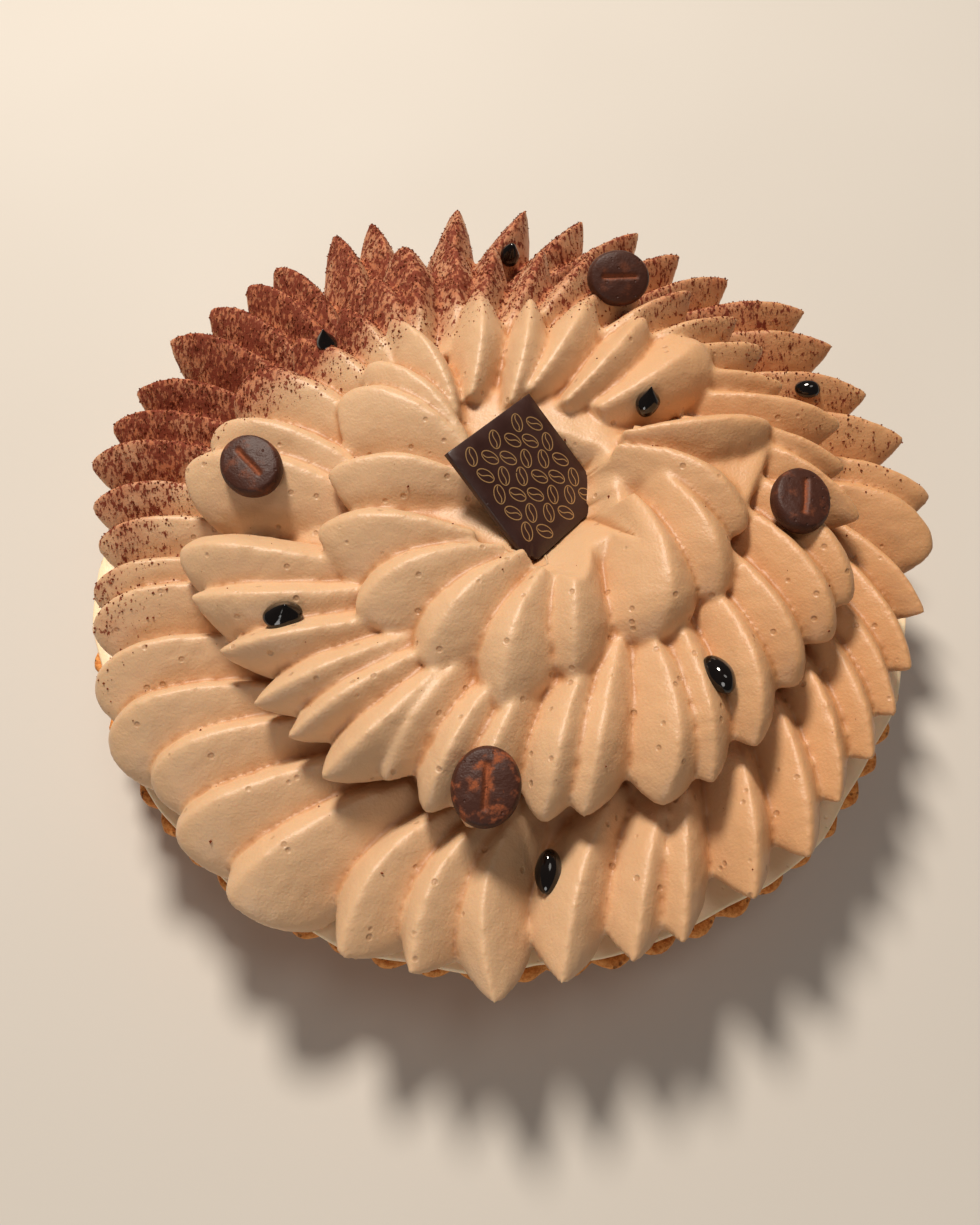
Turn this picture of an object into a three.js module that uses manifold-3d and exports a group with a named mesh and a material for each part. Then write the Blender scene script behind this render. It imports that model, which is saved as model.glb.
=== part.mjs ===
// Coffee tart: a fluted pastry shell filled with cream, covered by three rings of piped coffee-cream
// petals, with four chocolate coffee beans, seven drops of coffee gel and a square chocolate plaque.
// Millimetres, +Z up, origin at the centre of the shell's flat underside.
import * as THREE from 'three';
import { mergeVertices } from 'three/addons/utils/BufferGeometryUtils.js';
import Module from 'manifold-3d';

// ---- Driving dimensions --------------------------------------------------------------------------

const GAP = 0.3; // clearance between pieces that touch

const SHELL = {
  rimRadius: 138.6, // crest of the flutes at the rim
  baseRadius: 130.5, // crest of the flutes at the underside
  height: 31,
  flutes: 66,
  fluteDepth: 3.2,
  wall: 3.4,
  floor: 5,
  edgeUnevenness: 0.9, // how far the baked edge rises and falls
  edgeFall: 0.4, // how much lower the edge is inside
  pointsPerFlute: 4,
};
const FILLING_TOP = 34.2;
const FILLING_SIDES = 66;
// The filling spreads out over the top of the wall in a thin lip.
const LIP = { radius: 136.4, thickness: 2 };
const CREAM_BASE = FILLING_TOP + GAP; // the petals rest here

// The mound of cream under the petals: [radius, height] from its foot to its middle.
const MOUND = [[121, 40], [100, 50], [82, 54], [67, 65], [34, 76], [0, 77]];
const MOUND_CENTRE = [4, 3];
const MOUND_SIDES = 16;

// Each ring of petals is piped round a centre of its own, with a tip at each of these azimuths. Going
// round, the sizes of the petals follow the stations: azimuth in degrees, reach of the tip, turn of the
// petal out of the radius (negative is clockwise from above), width, rise, how far the ridge leans over
// for each millimetre of height (negative is clockwise again), how far it bows sideways, and roundness of
// the tip, from a sharp 0 to a round 1. A petal is tailWidth of its width at its tail, and at the front
// of the ring its tip hangs frontDrop lower.
const OUTER_RING = {
  seed: 5, centre: [1, 4], base: CREAM_BASE, length: 58, nose: 18, tailWidth: 0.8,
  frontDrop: 0,
  tips: [
    2.5, 12.5, 21.5, 31.5, 39, 51.5, 60.5, 68, 77, 86, 96.5, 110, 116, 126.5, 132, 139, 147, 157.5,
    164, 171, 178, 184.5, 192.5, 198.5, 207.5, 215, 222.5, 230, 239.5, 253, 260.5, 269, 275.5, 283,
    288.5, 297.5, 305.5, 313, 320.5, 327.5, 334.5, 343.5, 355,
  ],
  stations: [
    [3, 142, -21, 24, 26, 0.3, 0, 0.4], [19, 140, -29, 21, 25.5, 0.3, 0, 0.3],
    [32, 144, -33, 20, 25.5, 0.2, 0, 0.3], [39, 146, -34, 21, 25.5, 0.2, 0, 0.3],
    [52, 140, -33, 20, 25.5, 0.1, 1, 0.4], [68, 147, -30, 20, 25.5, 0, 2, 0.3],
    [90, 151, -21, 20, 26, -0.1, 2.6, 0.25], [107, 151, -12, 20, 26.5, -0.2, 2.6, 0.25],
    [125, 147, -4, 20, 25.5, -0.25, 2.6, 0.5], [147, 146, 5, 20, 25.5, -0.3, 2.6, 0.5],
    [157, 141, 5, 20, 25.5, -0.3, 2.6, 0.5], [169, 143, 6, 21, 25, -0.3, 2.6, 0.6],
    [182, 134, -2, 21, 25, -0.3, 2.6, 0.7], [192, 133, -8, 22, 26, -0.3, 2.6, 0.8],
    [203, 136, -15, 27, 28, -0.35, 2.6, 0.9], [214, 140, -23, 29, 28.5, -0.35, 2.6, 0.95],
    [222, 136.5, -26, 28, 27.5, -0.3, 1.5, 0.9], [230, 141, -25, 29, 26.5, -0.3, -0.5, 0.8],
    [239, 145, -27, 31, 26, -0.25, 1, 0.6], [253, 147, -23, 26, 25.5, -0.2, 7, 0.3],
    [261, 148, -24, 24, 25.5, -0.2, 7, 0.2], [269, 153, -13, 24, 25.5, -0.1, 8, 0.2],
    [276, 147, -27, 23, 25.5, 0.1, 3, 0.2], [283, 146, -28, 23, 25.5, 0.12, 2, 0.2],
    [291, 144, -24, 23, 25.5, 0.12, 0, 0.2], [299, 143, -30, 23, 25.5, 0.15, -2, 0.2],
    [314, 137, -34, 22, 25.5, 0.2, -2.5, 0.25], [338, 135, -41, 21, 25.5, 0.22, -2.5, 0.25],
    [347, 136, -32, 23, 26, 0.25, -2, 0.3], [355, 141, -12, 29, 27, 0.3, -7, 0.7],
  ],
};
const MIDDLE_RING = {
  seed: 9, centre: [6, 0], base: 56, length: 54, nose: 16, tailWidth: 0.8,
  frontDrop: 6,
  tips: [
    4.5, 14, 26, 35, 43.5, 54, 65, 75, 84.5, 94, 102, 111, 119, 128, 140, 154, 167, 175.5, 192, 201.5,
    213, 224, 232, 240, 248, 255.5, 262, 272.5, 278.5, 290.5, 298, 307, 320, 330, 338, 354.5,
  ],
  stations: [
    [5, 104, -28, 19, 23, 0.2, 0, 0.5], [14, 109, -27, 19, 23, 0.2, 0, 0.5],
    [26, 99, -25, 20, 23, 0.15, 0, 0.5], [44, 107, -22, 20, 24, 0.1, 1, 0.4],
    [65, 106, -20, 20, 25, 0, 2, 0.35], [94, 110, -16, 20, 24, -0.1, 2.4, 0.35],
    [111, 116, -12, 24, 26, -0.15, 2.4, 0.6], [119, 106, -10, 21, 24, -0.2, 2.4, 0.45],
    [128, 99, -8, 22, 23, -0.2, 2.4, 0.35], [140, 99, -7, 23, 23, -0.25, 2.4, 0.4],
    [154, 104, -6, 29, 23, -0.3, 2.4, 1], [167, 102, -5, 27, 23, -0.3, 2.4, 0.8],
    [175, 105, -8, 28, 23, -0.25, 2, 0.7], [192, 104, -21, 27, 23, 0, -1, 0.6],
    [202, 105, -17, 24, 22, 0.1, -3.5, 0.2], [213, 102, -22, 22, 22, 0.2, -1, 0.2],
    [224, 104, -18, 21, 22, 0.2, 0, 0.2], [232, 105, -17, 21, 22, 0.2, 1, 0.2],
    [240, 109, -16, 22, 23, 0.1, -2, 0.25], [248, 100, -15, 20, 22, 0, 2.4, 0.3],
    [258, 107, -16, 21, 22, 0.05, 2.4, 0.6], [271, 105, -21, 21, 22, 0.1, 2, 0.5],
    [278, 105, -23, 22, 22, 0.1, 1, 0.3], [290, 107, -17, 25, 23, 0.15, -4, 0.6],
    [298, 107, -19, 22, 23, 0.15, -1, 0.3], [307, 105, -22, 22, 23, 0.15, -4, 0.4],
    [320, 101, -23, 22, 23, 0.2, -2, 0.7], [338, 104, -35, 24, 23, 0.25, -2, 0.6],
    [355, 104, -34, 18, 23, 0.25, 0, 0.5],
  ],
};
// The petals of the inner ring one by one: azimuth and the same seven sizes.
const INNER_RING = {
  centre: [13, 8], base: 66, length: 47, nose: 15,
  tailWidth: 0.45, frontDrop: 6,
  petals: [
    [225, 77, -22, 27, 21, -0.2, 2, 0.35], [203, 73, -27, 26, 21, -0.2, 0.5, 0.4],
    [187, 66, -13, 24, 21, -0.25, 2, 0.5], [160, 68, -9, 27, 21, -0.35, 2, 0.7],
    [147, 67, -12, 22, 21, -0.3, 2, 0.6], [131, 75, -12, 20, 21, -0.25, 2, 0.4],
    [106, 73, -18, 21, 21, -0.1, 2, 0.35], [92, 66, -11, 19, 21, 0, 2, 0.35],
    [75, 69, -12, 22, 21, -0.1, 2, 0.5], [58, 68, -5, 21, 21, -0.1, 2, 0.5],
    [42, 73, -3, 31, 20, -0.3, 2, 1], [8.5, 73, -4, 22, 22, 0, 2, 0.6],
    [336, 66, -12, 25, 22, 0.25, -3, 0.6], [316, 70, -22, 24, 21, 0.2, -2, 0.6],
    [296, 70, -18, 28, 21, 0.3, -2, 0.8], [275.5, 75.5, -9, 22, 21, 0, 1, 0.5],
    [261, 84, -11, 25, 21, -0.1, 2, 0.3], [244, 79, -16, 26, 21, -0.1, 2, 0.4],
  ],
};
// One thick petal of the inner ring was pressed out flat into a fan.
const FLAT_PETAL = {
  azimuth: -5, reach: 68, turn: -19, length: 42, width: 33, tailWidth: 6, base: 66, rise: 11.5,
  section: [[6, 0], [1, 0.5], [0, 0.8], [1.2, 1]], // how far the side is set in, at shares of the rise
};

// Shape of one piped petal, as shares of its own size.
const PETAL = {
  sharpHeight: 0.88, // height of a sharp tip's furthest point
  roundHeight: 0.5, // and of a round tip's
  keel: 1.35, // how the underside falls away behind the tip
  crestRun: 22, // length over which the ridge climbs to its full height, in millimetres
  shoulder: 0.43, // where a petal of the usual width is widest, along its length
  usualWidth: 20, // a wider petal has a blunter tip
  tipPower: 1.6,
  tailNarrowing: 1.4,
  tailRise: 0.75,
  ridgeFall: 1.8,
  flankPower: 1.5,
  crestFullness: 0.8,
  widestAt: 0.25, // height of the widest line of a section
  footWidth: 0.45,
  sections: [2.5, 11, 25, 1], // where the sections lie: behind the tip, the last as a share of the length
  aroundFlank: [1, 0.6, 0.15], // points of half a section, from ridge to foot
};
const JITTER = { reach: 1.2, turn: 2.5, width: 0.8, rise: 0.7 };

const BEAN = {
  length: 21.5, width: 18.5, thickness: 7, sides: 16,
  grooveLength: 0.62, // as a share of the bean's length
  grooveWidth: 1.6, grooveDepth: 1.1, grooveSides: 10,
  // Shares of half the width and half the thickness, from its underside up.
  section: [[0.72, -1], [1, -0.3], [1, 0.1], [0.86, 0.62], [0.5, 0.9]],
};
// Where each bean lies: its middle, the way its face looks, and the heading of its groove.
const BEANS = [
  { at: [-76, 3, 80], faces: [-0.1, -0.2, 1], heading: -54 },
  { at: [41, 82, 83], faces: [0.1, -0.62, 0.8], heading: -4 },
  { at: [90, -10, 80], faces: [0.22, -0.15, 1], heading: 76 },
  { at: [-4, -98, 74.5], faces: [0, -0.3, 1], heading: 82 },
];
// Gel drops: middle, length, width, height and heading.
const DROPS = [
  { at: [-62, -47, 76], size: [11.5, 8.5, 9], heading: 10 },
  { at: [-58, 58, 77], size: [9, 7, 10], heading: 120 },
  { at: [4.5, 124.3, 57.3], size: [8, 7.5, 10], heading: 0 },
  { at: [47, 27.5, 82], size: [9, 7.5, 11], heading: 60 },
  { at: [108.3, 54.4, 58.6], size: [9, 7.5, 5.5], heading: 0 },
  { at: [60, -66, 76], size: [12.5, 8, 7], heading: -62 },
  { at: [12.8, -114.2, 53.7], size: [12.5, 7.5, 7], heading: 84 },
];
const DROP_SIDES = 10;
// Shares of half a drop's width and height, from its foot up to its soft peak.
const DROP_SECTION = [[0.62, -0.75], [0.95, -0.25], [0.97, 0.2], [0.7, 0.66]];
const PLAQUE = {
  side: 41.2, thickness: 2.4, middle: [8.8, 0, 78],
  alongEdge: [0.6, -0.62, -0.507], acrossEdge: [0.6, 0.765, -0.228],
  notch: 4, // the nibbled corner
  clearHeight: 18, // how far the cream is cleared away above it
  clearSpread: 8, // and out beyond its edges at that height
  coveredCorner: 11, // the cream still covers one corner, up to here along its edges
};

const MATERIALS = {
  shell: { color: 0xb8692a, roughness: 0.75 },
  filling: { color: 0xe3c39c, roughness: 0.6 },
  cream: { color: 0xdeb282, roughness: 0.55 },
  bean: { color: 0x3a1a14, roughness: 0.6 },
  gel: { color: 0x050404, roughness: 0.08 },
  plaque: { color: 0x2e1611, roughness: 0.4 },
};

// ---- Helpers -------------------------------------------------------------------------------------

const wasm = await Module();
wasm.setup();

const radians = THREE.MathUtils.degToRad;

// Repeatable random numbers from -1 to 1.
function seeded(seed) {
  let state = seed * 2654435761;
  return () => {
    state = (Math.imul(state ^ (state >>> 15), 2246822519) + 374761393) >>> 0;
    const mixed = Math.imul(state ^ (state >>> 13), 3266489917) >>> 0;
    return (mixed / 4294967295) * 2 - 1;
  };
}

// Reads a ring's stations at an azimuth, easing from each one to the next.
function stationAt(stations, azimuth) {
  const turned = ((azimuth % 360) + 360) % 360;
  let next = stations.findIndex((row) => row[0] > turned);
  if (next < 0) next = 0;
  const after = stations[next];
  const before = stations[(next + stations.length - 1) % stations.length];
  const span = (after[0] - before[0] + 360) % 360;
  const share = ((turned - before[0] + 360) % 360) / span;
  const eased = before.map((v, k) => v + (after[k] - v) * share);
  const [, reach, turn, width, rise, lean, bow, roundness] = eased;
  return { reach, turn, width, rise, lean, bow, roundness };
}

// A ring of points at a height, wider along X than along Y or the other way about.
const ellipse = (a, b, z, sides) => Array.from({ length: sides }, (_, i) => {
  const angle = (i / sides) * 2 * Math.PI;
  return [a * Math.cos(angle), b * Math.sin(angle), z];
});

// A closed geometry through rings of points, each end of which is closed to one point.
function loft(first, rings, last) {
  const sides = rings[0].length;
  const points = [first, ...rings.flat(), last];
  const end = points.length - 1;
  const faces = [];
  for (let i = 0; i < sides; i++) {
    const j = (i + 1) % sides;
    faces.push(0, 1 + j, 1 + i);
    for (let k = 0; k < rings.length - 1; k++) {
      const a = 1 + k * sides;
      const b = a + sides;
      faces.push(a + i, a + j, b + i, a + j, b + j, b + i);
    }
    const a = 1 + (rings.length - 1) * sides;
    faces.push(a + i, a + j, end);
  }
  const geometry = new THREE.BufferGeometry();
  geometry.setAttribute('position', new THREE.Float32BufferAttribute(points.flat(), 3));
  geometry.setIndex(faces);
  return geometry;
}

function toSolid(geometry) {
  const bare = new THREE.BufferGeometry();
  bare.setAttribute('position', geometry.getAttribute('position'));
  bare.setIndex(geometry.getIndex());
  const merged = mergeVertices(bare, 1e-4);
  return new wasm.Manifold(new wasm.Mesh({
    numProp: 3,
    vertProperties: new Float32Array(merged.getAttribute('position').array),
    triVerts: new Uint32Array(merged.getIndex().array),
  }));
}

function toGeometry(solid) {
  const mesh = solid.getMesh();
  const geometry = new THREE.BufferGeometry();
  geometry.setAttribute('position', new THREE.BufferAttribute(mesh.vertProperties, 3));
  geometry.setIndex(new THREE.BufferAttribute(mesh.triVerts, 1));
  return geometry;
}

// The largest body of a solid: loose scraps are dropped and sealed hollows are filled.
function mainBody(solid) {
  return solid.decompose().reduce((best, body) => (body.volume() > best.volume() ? body : best));
}

// ---- Pastry shell and filling --------------------------------------------------------------------

// Height of the baked edge round the rim.
function edgeHeight(angle) {
  const wave = Math.sin(5 * angle + 0.7) + 0.8 * Math.sin(11 * angle + 2.1) + 0.6 * Math.sin(29 * angle);
  return SHELL.height + (SHELL.edgeUnevenness * wave) / 2.4;
}

// One ring of points round the shell: rounded flutes outside with narrow valleys between them.
function flutedRing(radius, height) {
  const samples = SHELL.flutes * SHELL.pointsPerFlute;
  return Array.from({ length: samples }, (_, i) => {
    const angle = (i / samples) * 2 * Math.PI;
    const lobe = Math.abs(Math.cos((SHELL.flutes * angle) / 2));
    const r = radius - SHELL.fluteDepth * (1 - lobe);
    return [r * Math.cos(angle), r * Math.sin(angle), height(angle)];
  });
}

const wallRadius = (z) => SHELL.baseRadius + ((SHELL.rimRadius - SHELL.baseRadius) * z) / SHELL.height;

function shellGeometry() {
  const level = (z) => () => z;
  const rings = [
    flutedRing(wallRadius(0), level(0)),
    flutedRing(wallRadius(SHELL.height), edgeHeight),
    flutedRing(wallRadius(SHELL.height) - SHELL.wall, (angle) => edgeHeight(angle) - SHELL.edgeFall),
    flutedRing(wallRadius(SHELL.floor) - SHELL.wall, level(SHELL.floor)),
  ];
  return loft([0, 0, 0], rings, [0, 0, SHELL.floor]);
}

// The filling stands clear of the wall's innermost folds and laps over its top.
function fillingGeometry() {
  const inset = SHELL.wall + SHELL.fluteDepth + GAP;
  const foot = SHELL.floor + GAP;
  const under = FILLING_TOP - LIP.thickness;
  const rings = [
    ellipse(wallRadius(foot) - inset, wallRadius(foot) - inset, foot, FILLING_SIDES),
    ellipse(wallRadius(under) - inset, wallRadius(under) - inset, under, FILLING_SIDES),
    ellipse(LIP.radius, LIP.radius, under, FILLING_SIDES),
    ellipse(LIP.radius, LIP.radius, FILLING_TOP, FILLING_SIDES),
  ];
  return loft([0, 0, foot], rings, [0, 0, FILLING_TOP]);
}

// ---- Piped petals --------------------------------------------------------------------------------

// How much lower a petal's tip hangs: most at the front, where it rests on the ring below.
const tipDrop = (ring, azimuth) => ring.frontDrop * Math.max(0, -Math.sin(radians(azimuth))) ** 0.7;

const tipHeight = ({ rise, roundness, drop }) =>
  rise * (PETAL.sharpHeight + (PETAL.roundHeight - PETAL.sharpHeight) * roundness) - drop;

// A mix of what a sharp and a round tip have.
const mixed = (sharp, round, roundness) => sharp + (round - sharp) * roundness;

// Half-width and lowest and highest point of a petal at a distance behind its tip.
function petalSection(distance, size) {
  const { length, width, rise, nose, tailWidth, roundness } = size;
  const tip = tipHeight(size);
  const sharpClimb = Math.sin((Math.PI / 2) * Math.min(1, distance / PETAL.crestRun));
  const roundClimb = Math.sqrt(1 - (1 - Math.min(1, distance / nose)) ** 2);
  const behind = Math.max(0, (distance - PETAL.crestRun) / (length - PETAL.crestRun));
  const fall = 1 - (1 - PETAL.tailRise) * behind ** PETAL.ridgeFall;
  const top = (tip + (rise - tip) * mixed(sharpClimb, roundClimb, roundness)) * fall;
  const foot = tip * Math.max(0, 1 - distance / nose) ** PETAL.keel;
  const shoulder = (PETAL.shoulder * length * PETAL.usualWidth) / width;
  const ahead = 1 - distance / shoulder;
  const spread = distance < shoulder
    ? mixed(1 - Math.max(0, ahead) ** PETAL.tipPower, Math.sqrt(1 - ahead ** 2), roundness)
    : 1 - (1 - tailWidth) * ((distance - shoulder) / (length - shoulder)) ** PETAL.tailNarrowing;
  return { half: (width / 2) * spread, foot, top };
}

// Share of the half-width at a share of the height: a keen ridge on top of full flanks.
function flank(share) {
  const { widestAt, flankPower, crestFullness, footWidth } = PETAL;
  if (share >= widestAt) return (1 - ((share - widestAt) / (1 - widestAt)) ** flankPower) ** crestFullness;
  return footWidth + (1 - footWidth) * Math.sqrt(1 - (1 - share / widestAt) ** 2);
}

// A petal with its tip at the origin and its tail towards -X. Its ridge leans and bows sideways.
function petalGeometry(size) {
  const { length, lean, bow } = size;
  const tip = tipHeight(size);
  const distances = PETAL.sections.map((place) => (place === 1 ? length : place));
  const rings = distances.map((distance) => {
    const { half, foot, top } = petalSection(distance, size);
    const sideways = -4 * bow * (distance / length) * (1 - distance / length);
    const side = PETAL.aroundFlank.map((share) => [half * flank(share), foot + share * (top - foot)]);
    const left = side.map(([y, z]) => [-distance, sideways + lean * (z - tip) + y, z]);
    const right = side.slice(1).reverse().map(([y, z]) => [-distance, sideways + lean * (z - tip) - y, z]);
    return [...left, ...right];
  });
  const tail = petalSection(length, size).top / 2;
  return loft([0, 0, tip], rings, [-length, lean * (tail - tip), tail]);
}

// A petal piped towards the middle of its ring.
function placedPetal(ring, azimuth, reach, turn, size) {
  const a = radians(azimuth);
  const geometry = petalGeometry(size);
  geometry.rotateZ(radians(azimuth + turn));
  geometry.translate(ring.centre[0] + reach * Math.cos(a), ring.centre[1] + reach * Math.sin(a), ring.base);
  return toSolid(geometry);
}

function ringPetals(ring) {
  const random = seeded(ring.seed);
  return ring.tips.map((azimuth) => {
    const { reach, turn, width, rise, lean, bow, roundness } = stationAt(ring.stations, azimuth);
    const size = {
      length: ring.length,
      nose: ring.nose,
      tailWidth: ring.tailWidth,
      drop: tipDrop(ring, azimuth),
      lean,
      bow,
      roundness,
      width: width + JITTER.width * random(),
      rise: rise + JITTER.rise * random(),
    };
    return placedPetal(ring, azimuth, reach + JITTER.reach * random(), turn + JITTER.turn * random(), size);
  });
}

function innerPetals() {
  const { length, nose, tailWidth, petals } = INNER_RING;
  return petals.map(([azimuth, reach, turn, width, rise, lean, bow, roundness]) => {
    const drop = tipDrop(INNER_RING, azimuth);
    const size = { length, nose, tailWidth, drop, width, rise, lean, bow, roundness };
    return placedPetal(INNER_RING, azimuth, reach, turn, size);
  });
}

// The petal that spread into a fan with a straight outer edge: level on top, round below.
function flatPetal() {
  const { azimuth, reach, turn, length, width, tailWidth, base, rise, section } = FLAT_PETAL;
  const half = width / 2;
  const outline = [[0, half], [-length, tailWidth / 2], [-length, -tailWidth / 2], [0, -half]];
  const rings = section.map(([inset, share]) =>
    outline.map(([x, y]) => [x - inset, y * (1 - inset / half), share * rise]));
  const geometry = loft([-length / 2, 0, 0], rings, [-length / 2, 0, rise]);
  const a = radians(azimuth);
  geometry.rotateZ(a + radians(turn));
  const [cx, cy] = INNER_RING.centre;
  geometry.translate(cx + reach * Math.cos(a), cy + reach * Math.sin(a), base);
  return toSolid(geometry);
}

function moundSolid() {
  const profile = [[0, CREAM_BASE], [MOUND[0][0], CREAM_BASE], ...MOUND];
  const geometry = new THREE.LatheGeometry(profile.map(([r, z]) => new THREE.Vector2(r, z)), MOUND_SIDES);
  geometry.rotateX(Math.PI / 2); // the lathe turns round Y: its axis goes to +Z
  geometry.translate(MOUND_CENTRE[0], MOUND_CENTRE[1], 0);
  return toSolid(geometry);
}

// ---- Toppings ------------------------------------------------------------------------------------

// Stands a geometry modelled on the XY plane on a spot, facing along a direction.
function placed(geometry, at, faces, heading) {
  const up = new THREE.Vector3(...faces).normalize();
  const along = new THREE.Vector3(Math.cos(radians(heading)), Math.sin(radians(heading)), 0);
  along.addScaledVector(up, -along.dot(up)).normalize();
  const across = new THREE.Vector3().crossVectors(up, along);
  geometry.applyMatrix4(new THREE.Matrix4().makeBasis(along, across, up).setPosition(...at));
  return toSolid(geometry);
}

// An oval bean with a domed face and a groove along it, grown outwards by an allowance.
function beanSolid(bean, grow = 0) {
  const a = BEAN.length / 2 + grow;
  const b = BEAN.width / 2 + grow;
  const h = BEAN.thickness / 2 + grow;
  const rings = BEAN.section.map(([share, level]) =>
    ellipse(a * share, b * share, h * level, BEAN.sides));
  let solid = placed(loft([0, 0, -h], rings, [0, 0, h]), bean.at, bean.faces, bean.heading);
  if (!grow) {
    const { grooveLength, grooveWidth, grooveDepth, grooveSides } = BEAN;
    const mouth = ellipse(a * grooveLength, grooveWidth / 2, h + grooveDepth, grooveSides);
    const groove = loft([0, 0, h - BEAN.grooveDepth], [mouth], [0, 0, h + 2 * BEAN.grooveDepth]);
    solid = solid.subtract(placed(groove, bean.at, bean.faces, bean.heading));
  }
  return solid;
}

// A drop of gel: an egg shape drawn up to a soft peak.
function dropSolid(drop, grow = 0) {
  const [a, b, h] = drop.size.map((v) => v / 2 + grow);
  const rings = DROP_SECTION.map(([share, level]) =>
    ellipse(a * share, b * share, h * level, DROP_SIDES));
  return placed(loft([0, 0, -h], rings, [0, 0, h]), drop.at, [0, 0, 1], drop.heading);
}

// A geometry modelled flat, moved to where the plaque leans.
function onPlaque(geometry) {
  const along = new THREE.Vector3(...PLAQUE.alongEdge).normalize();
  const across = new THREE.Vector3(...PLAQUE.acrossEdge);
  across.addScaledVector(along, -across.dot(along)).normalize();
  const up = new THREE.Vector3().crossVectors(along, across);
  geometry.applyMatrix4(new THREE.Matrix4().makeBasis(along, across, up).setPosition(...PLAQUE.middle));
  return toSolid(geometry);
}

// The square plaque with its nibbled corner, grown outwards by an allowance.
function plaqueSolid(grow = 0) {
  const s = PLAQUE.side / 2 + grow;
  const t = PLAQUE.thickness / 2 + grow;
  const n = grow ? 0.5 : PLAQUE.notch;
  const outline = [[-s, -s], [s - n, -s], [s - n * 0.4, -s + n * 0.7], [s, -s + n], [s, s], [-s, s]];
  const ring = (z) => outline.map(([x, y]) => [x, y, z]);
  return onPlaque(loft([0, 0, -t], [ring(-t), ring(t)], [0, 0, t]));
}

// The room above the plaque that the cream leaves free.
function plaqueClearance() {
  const { side, clearHeight, clearSpread, coveredCorner } = PLAQUE;
  const s = side / 2 + GAP;
  const c = s - coveredCorner;
  const outline = [[-s, -s], [s, -s], [s, c], [c, s], [-s, s]];
  const ring = (z, spread) =>
    outline.map(([x, y]) => [x * (1 + spread / s), y * (1 + spread / s), z]);
  return onPlaque(loft([0, 0, 0], [ring(0, 0), ring(clearHeight, clearSpread)], [0, 0, clearHeight]));
}

// ---- Assembly ------------------------------------------------------------------------------------

// Every petal fused with the mound, then a snug seat pressed into the cream for each topping.
function creamSolid() {
  const parts = [...ringPetals(OUTER_RING), ...ringPetals(MIDDLE_RING), ...innerPetals(), flatPetal()];
  const seats = [...BEANS.map((bean) => beanSolid(bean, GAP)), ...DROPS.map((drop) => dropSolid(drop, GAP)),
    plaqueSolid(GAP), plaqueClearance()];
  const piped = parts.reduce((whole, part) => whole.add(part), moundSolid());
  return mainBody(seats.reduce((whole, seat) => whole.subtract(seat), mainBody(piped)));
}

const tart = new THREE.Group();

function addNode(name, geometry, look) {
  const material = new THREE.MeshStandardMaterial({ ...MATERIALS[look], metalness: 0 });
  const mesh = new THREE.Mesh(geometry, material);
  mesh.name = name;
  tart.add(mesh);
}

addNode('pastry_shell', shellGeometry(), 'shell');
addNode('cream_filling', fillingGeometry(), 'filling');
addNode('piped_petals', toGeometry(creamSolid()), 'cream');
BEANS.forEach((bean, i) => addNode(`coffee_bean_${i + 1}`, toGeometry(beanSolid(bean)), 'bean'));
DROPS.forEach((drop, i) => addNode(`gel_drop_${i + 1}`, toGeometry(dropSolid(drop)), 'gel'));
addNode('plaque', toGeometry(plaqueSolid()), 'plaque');

export default tart;
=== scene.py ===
"""Coffee tart: the looks. A fluted shortcrust shell filled with cream, three rings of piped coffee-cream
petals dusted with cocoa, chocolate coffee beans, drops of coffee gel and a square chocolate plaque.

Sizes are in millimetres, scaled by MM where a mesh is made. +Z is up and the shell stands on z = 0.
"""
import math

import bpy
import numpy as np
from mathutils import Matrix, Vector
from mathutils.noise import noise


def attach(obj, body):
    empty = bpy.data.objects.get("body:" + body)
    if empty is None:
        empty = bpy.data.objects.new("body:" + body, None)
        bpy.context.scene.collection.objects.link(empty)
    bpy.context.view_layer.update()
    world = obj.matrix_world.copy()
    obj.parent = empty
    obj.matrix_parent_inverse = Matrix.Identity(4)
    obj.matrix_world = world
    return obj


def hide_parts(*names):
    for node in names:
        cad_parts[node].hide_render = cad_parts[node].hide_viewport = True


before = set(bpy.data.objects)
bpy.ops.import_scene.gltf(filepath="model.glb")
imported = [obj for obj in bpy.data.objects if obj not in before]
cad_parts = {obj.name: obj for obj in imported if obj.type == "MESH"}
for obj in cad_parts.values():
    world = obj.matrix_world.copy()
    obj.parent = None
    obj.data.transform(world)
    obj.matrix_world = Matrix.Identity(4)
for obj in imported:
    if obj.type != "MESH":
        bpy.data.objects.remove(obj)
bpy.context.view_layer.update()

MM = 0.001

# ---- Sizes of the tart ------------------------------------------------------------------------------

# Bumps are given as (size, depth) and the edge as (inset, drop) from the outside inwards.
SHELL = dict(rim_radius=138.6, base_radius=130.5, height=31.0, flutes=66, flute_depth=3.2, wall=3.4,
             floor=5.0, edge_unevenness=0.9, points_per_flute=14, fold_softness=0.012, foot_inset=1.2,
             outer_levels=(1.2, 4, 8, 12, 16, 20, 24, 28), inner_level=24,
             edge=((0, 1.8), (0.25, 0.9), (0.8, 0.25), (1.7, 0), (2.6, 0.3)), inner_drop=1.0,
             smooth_foot=0.6, crumb_bumps=(6, 0.3), fine_bumps=(1.6, 0.22), edge_bumps=(2.1, 0.35),
             edge_band=3)
GAP = 0.3
FILLING_TOP = 34.2
FILLING = dict(top_rings=(128, 118, 100), bumps=(7, 0.3))
# The filling spreads out over the top of the wall in a thin lip.
LIP = dict(radius=136.4, thickness=2.0, unevenness=1.5, stretches=47, straight=0.8, seed=4)
CREAM_BASE = FILLING_TOP + GAP

# The mound under the petals: (radius, height) from its foot to its middle.
MOUND = ((121, 40), (100, 50), (82, 54), (67, 65), (34, 76), (0, 77))
MOUND_CENTRE = (4, 3)

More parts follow.
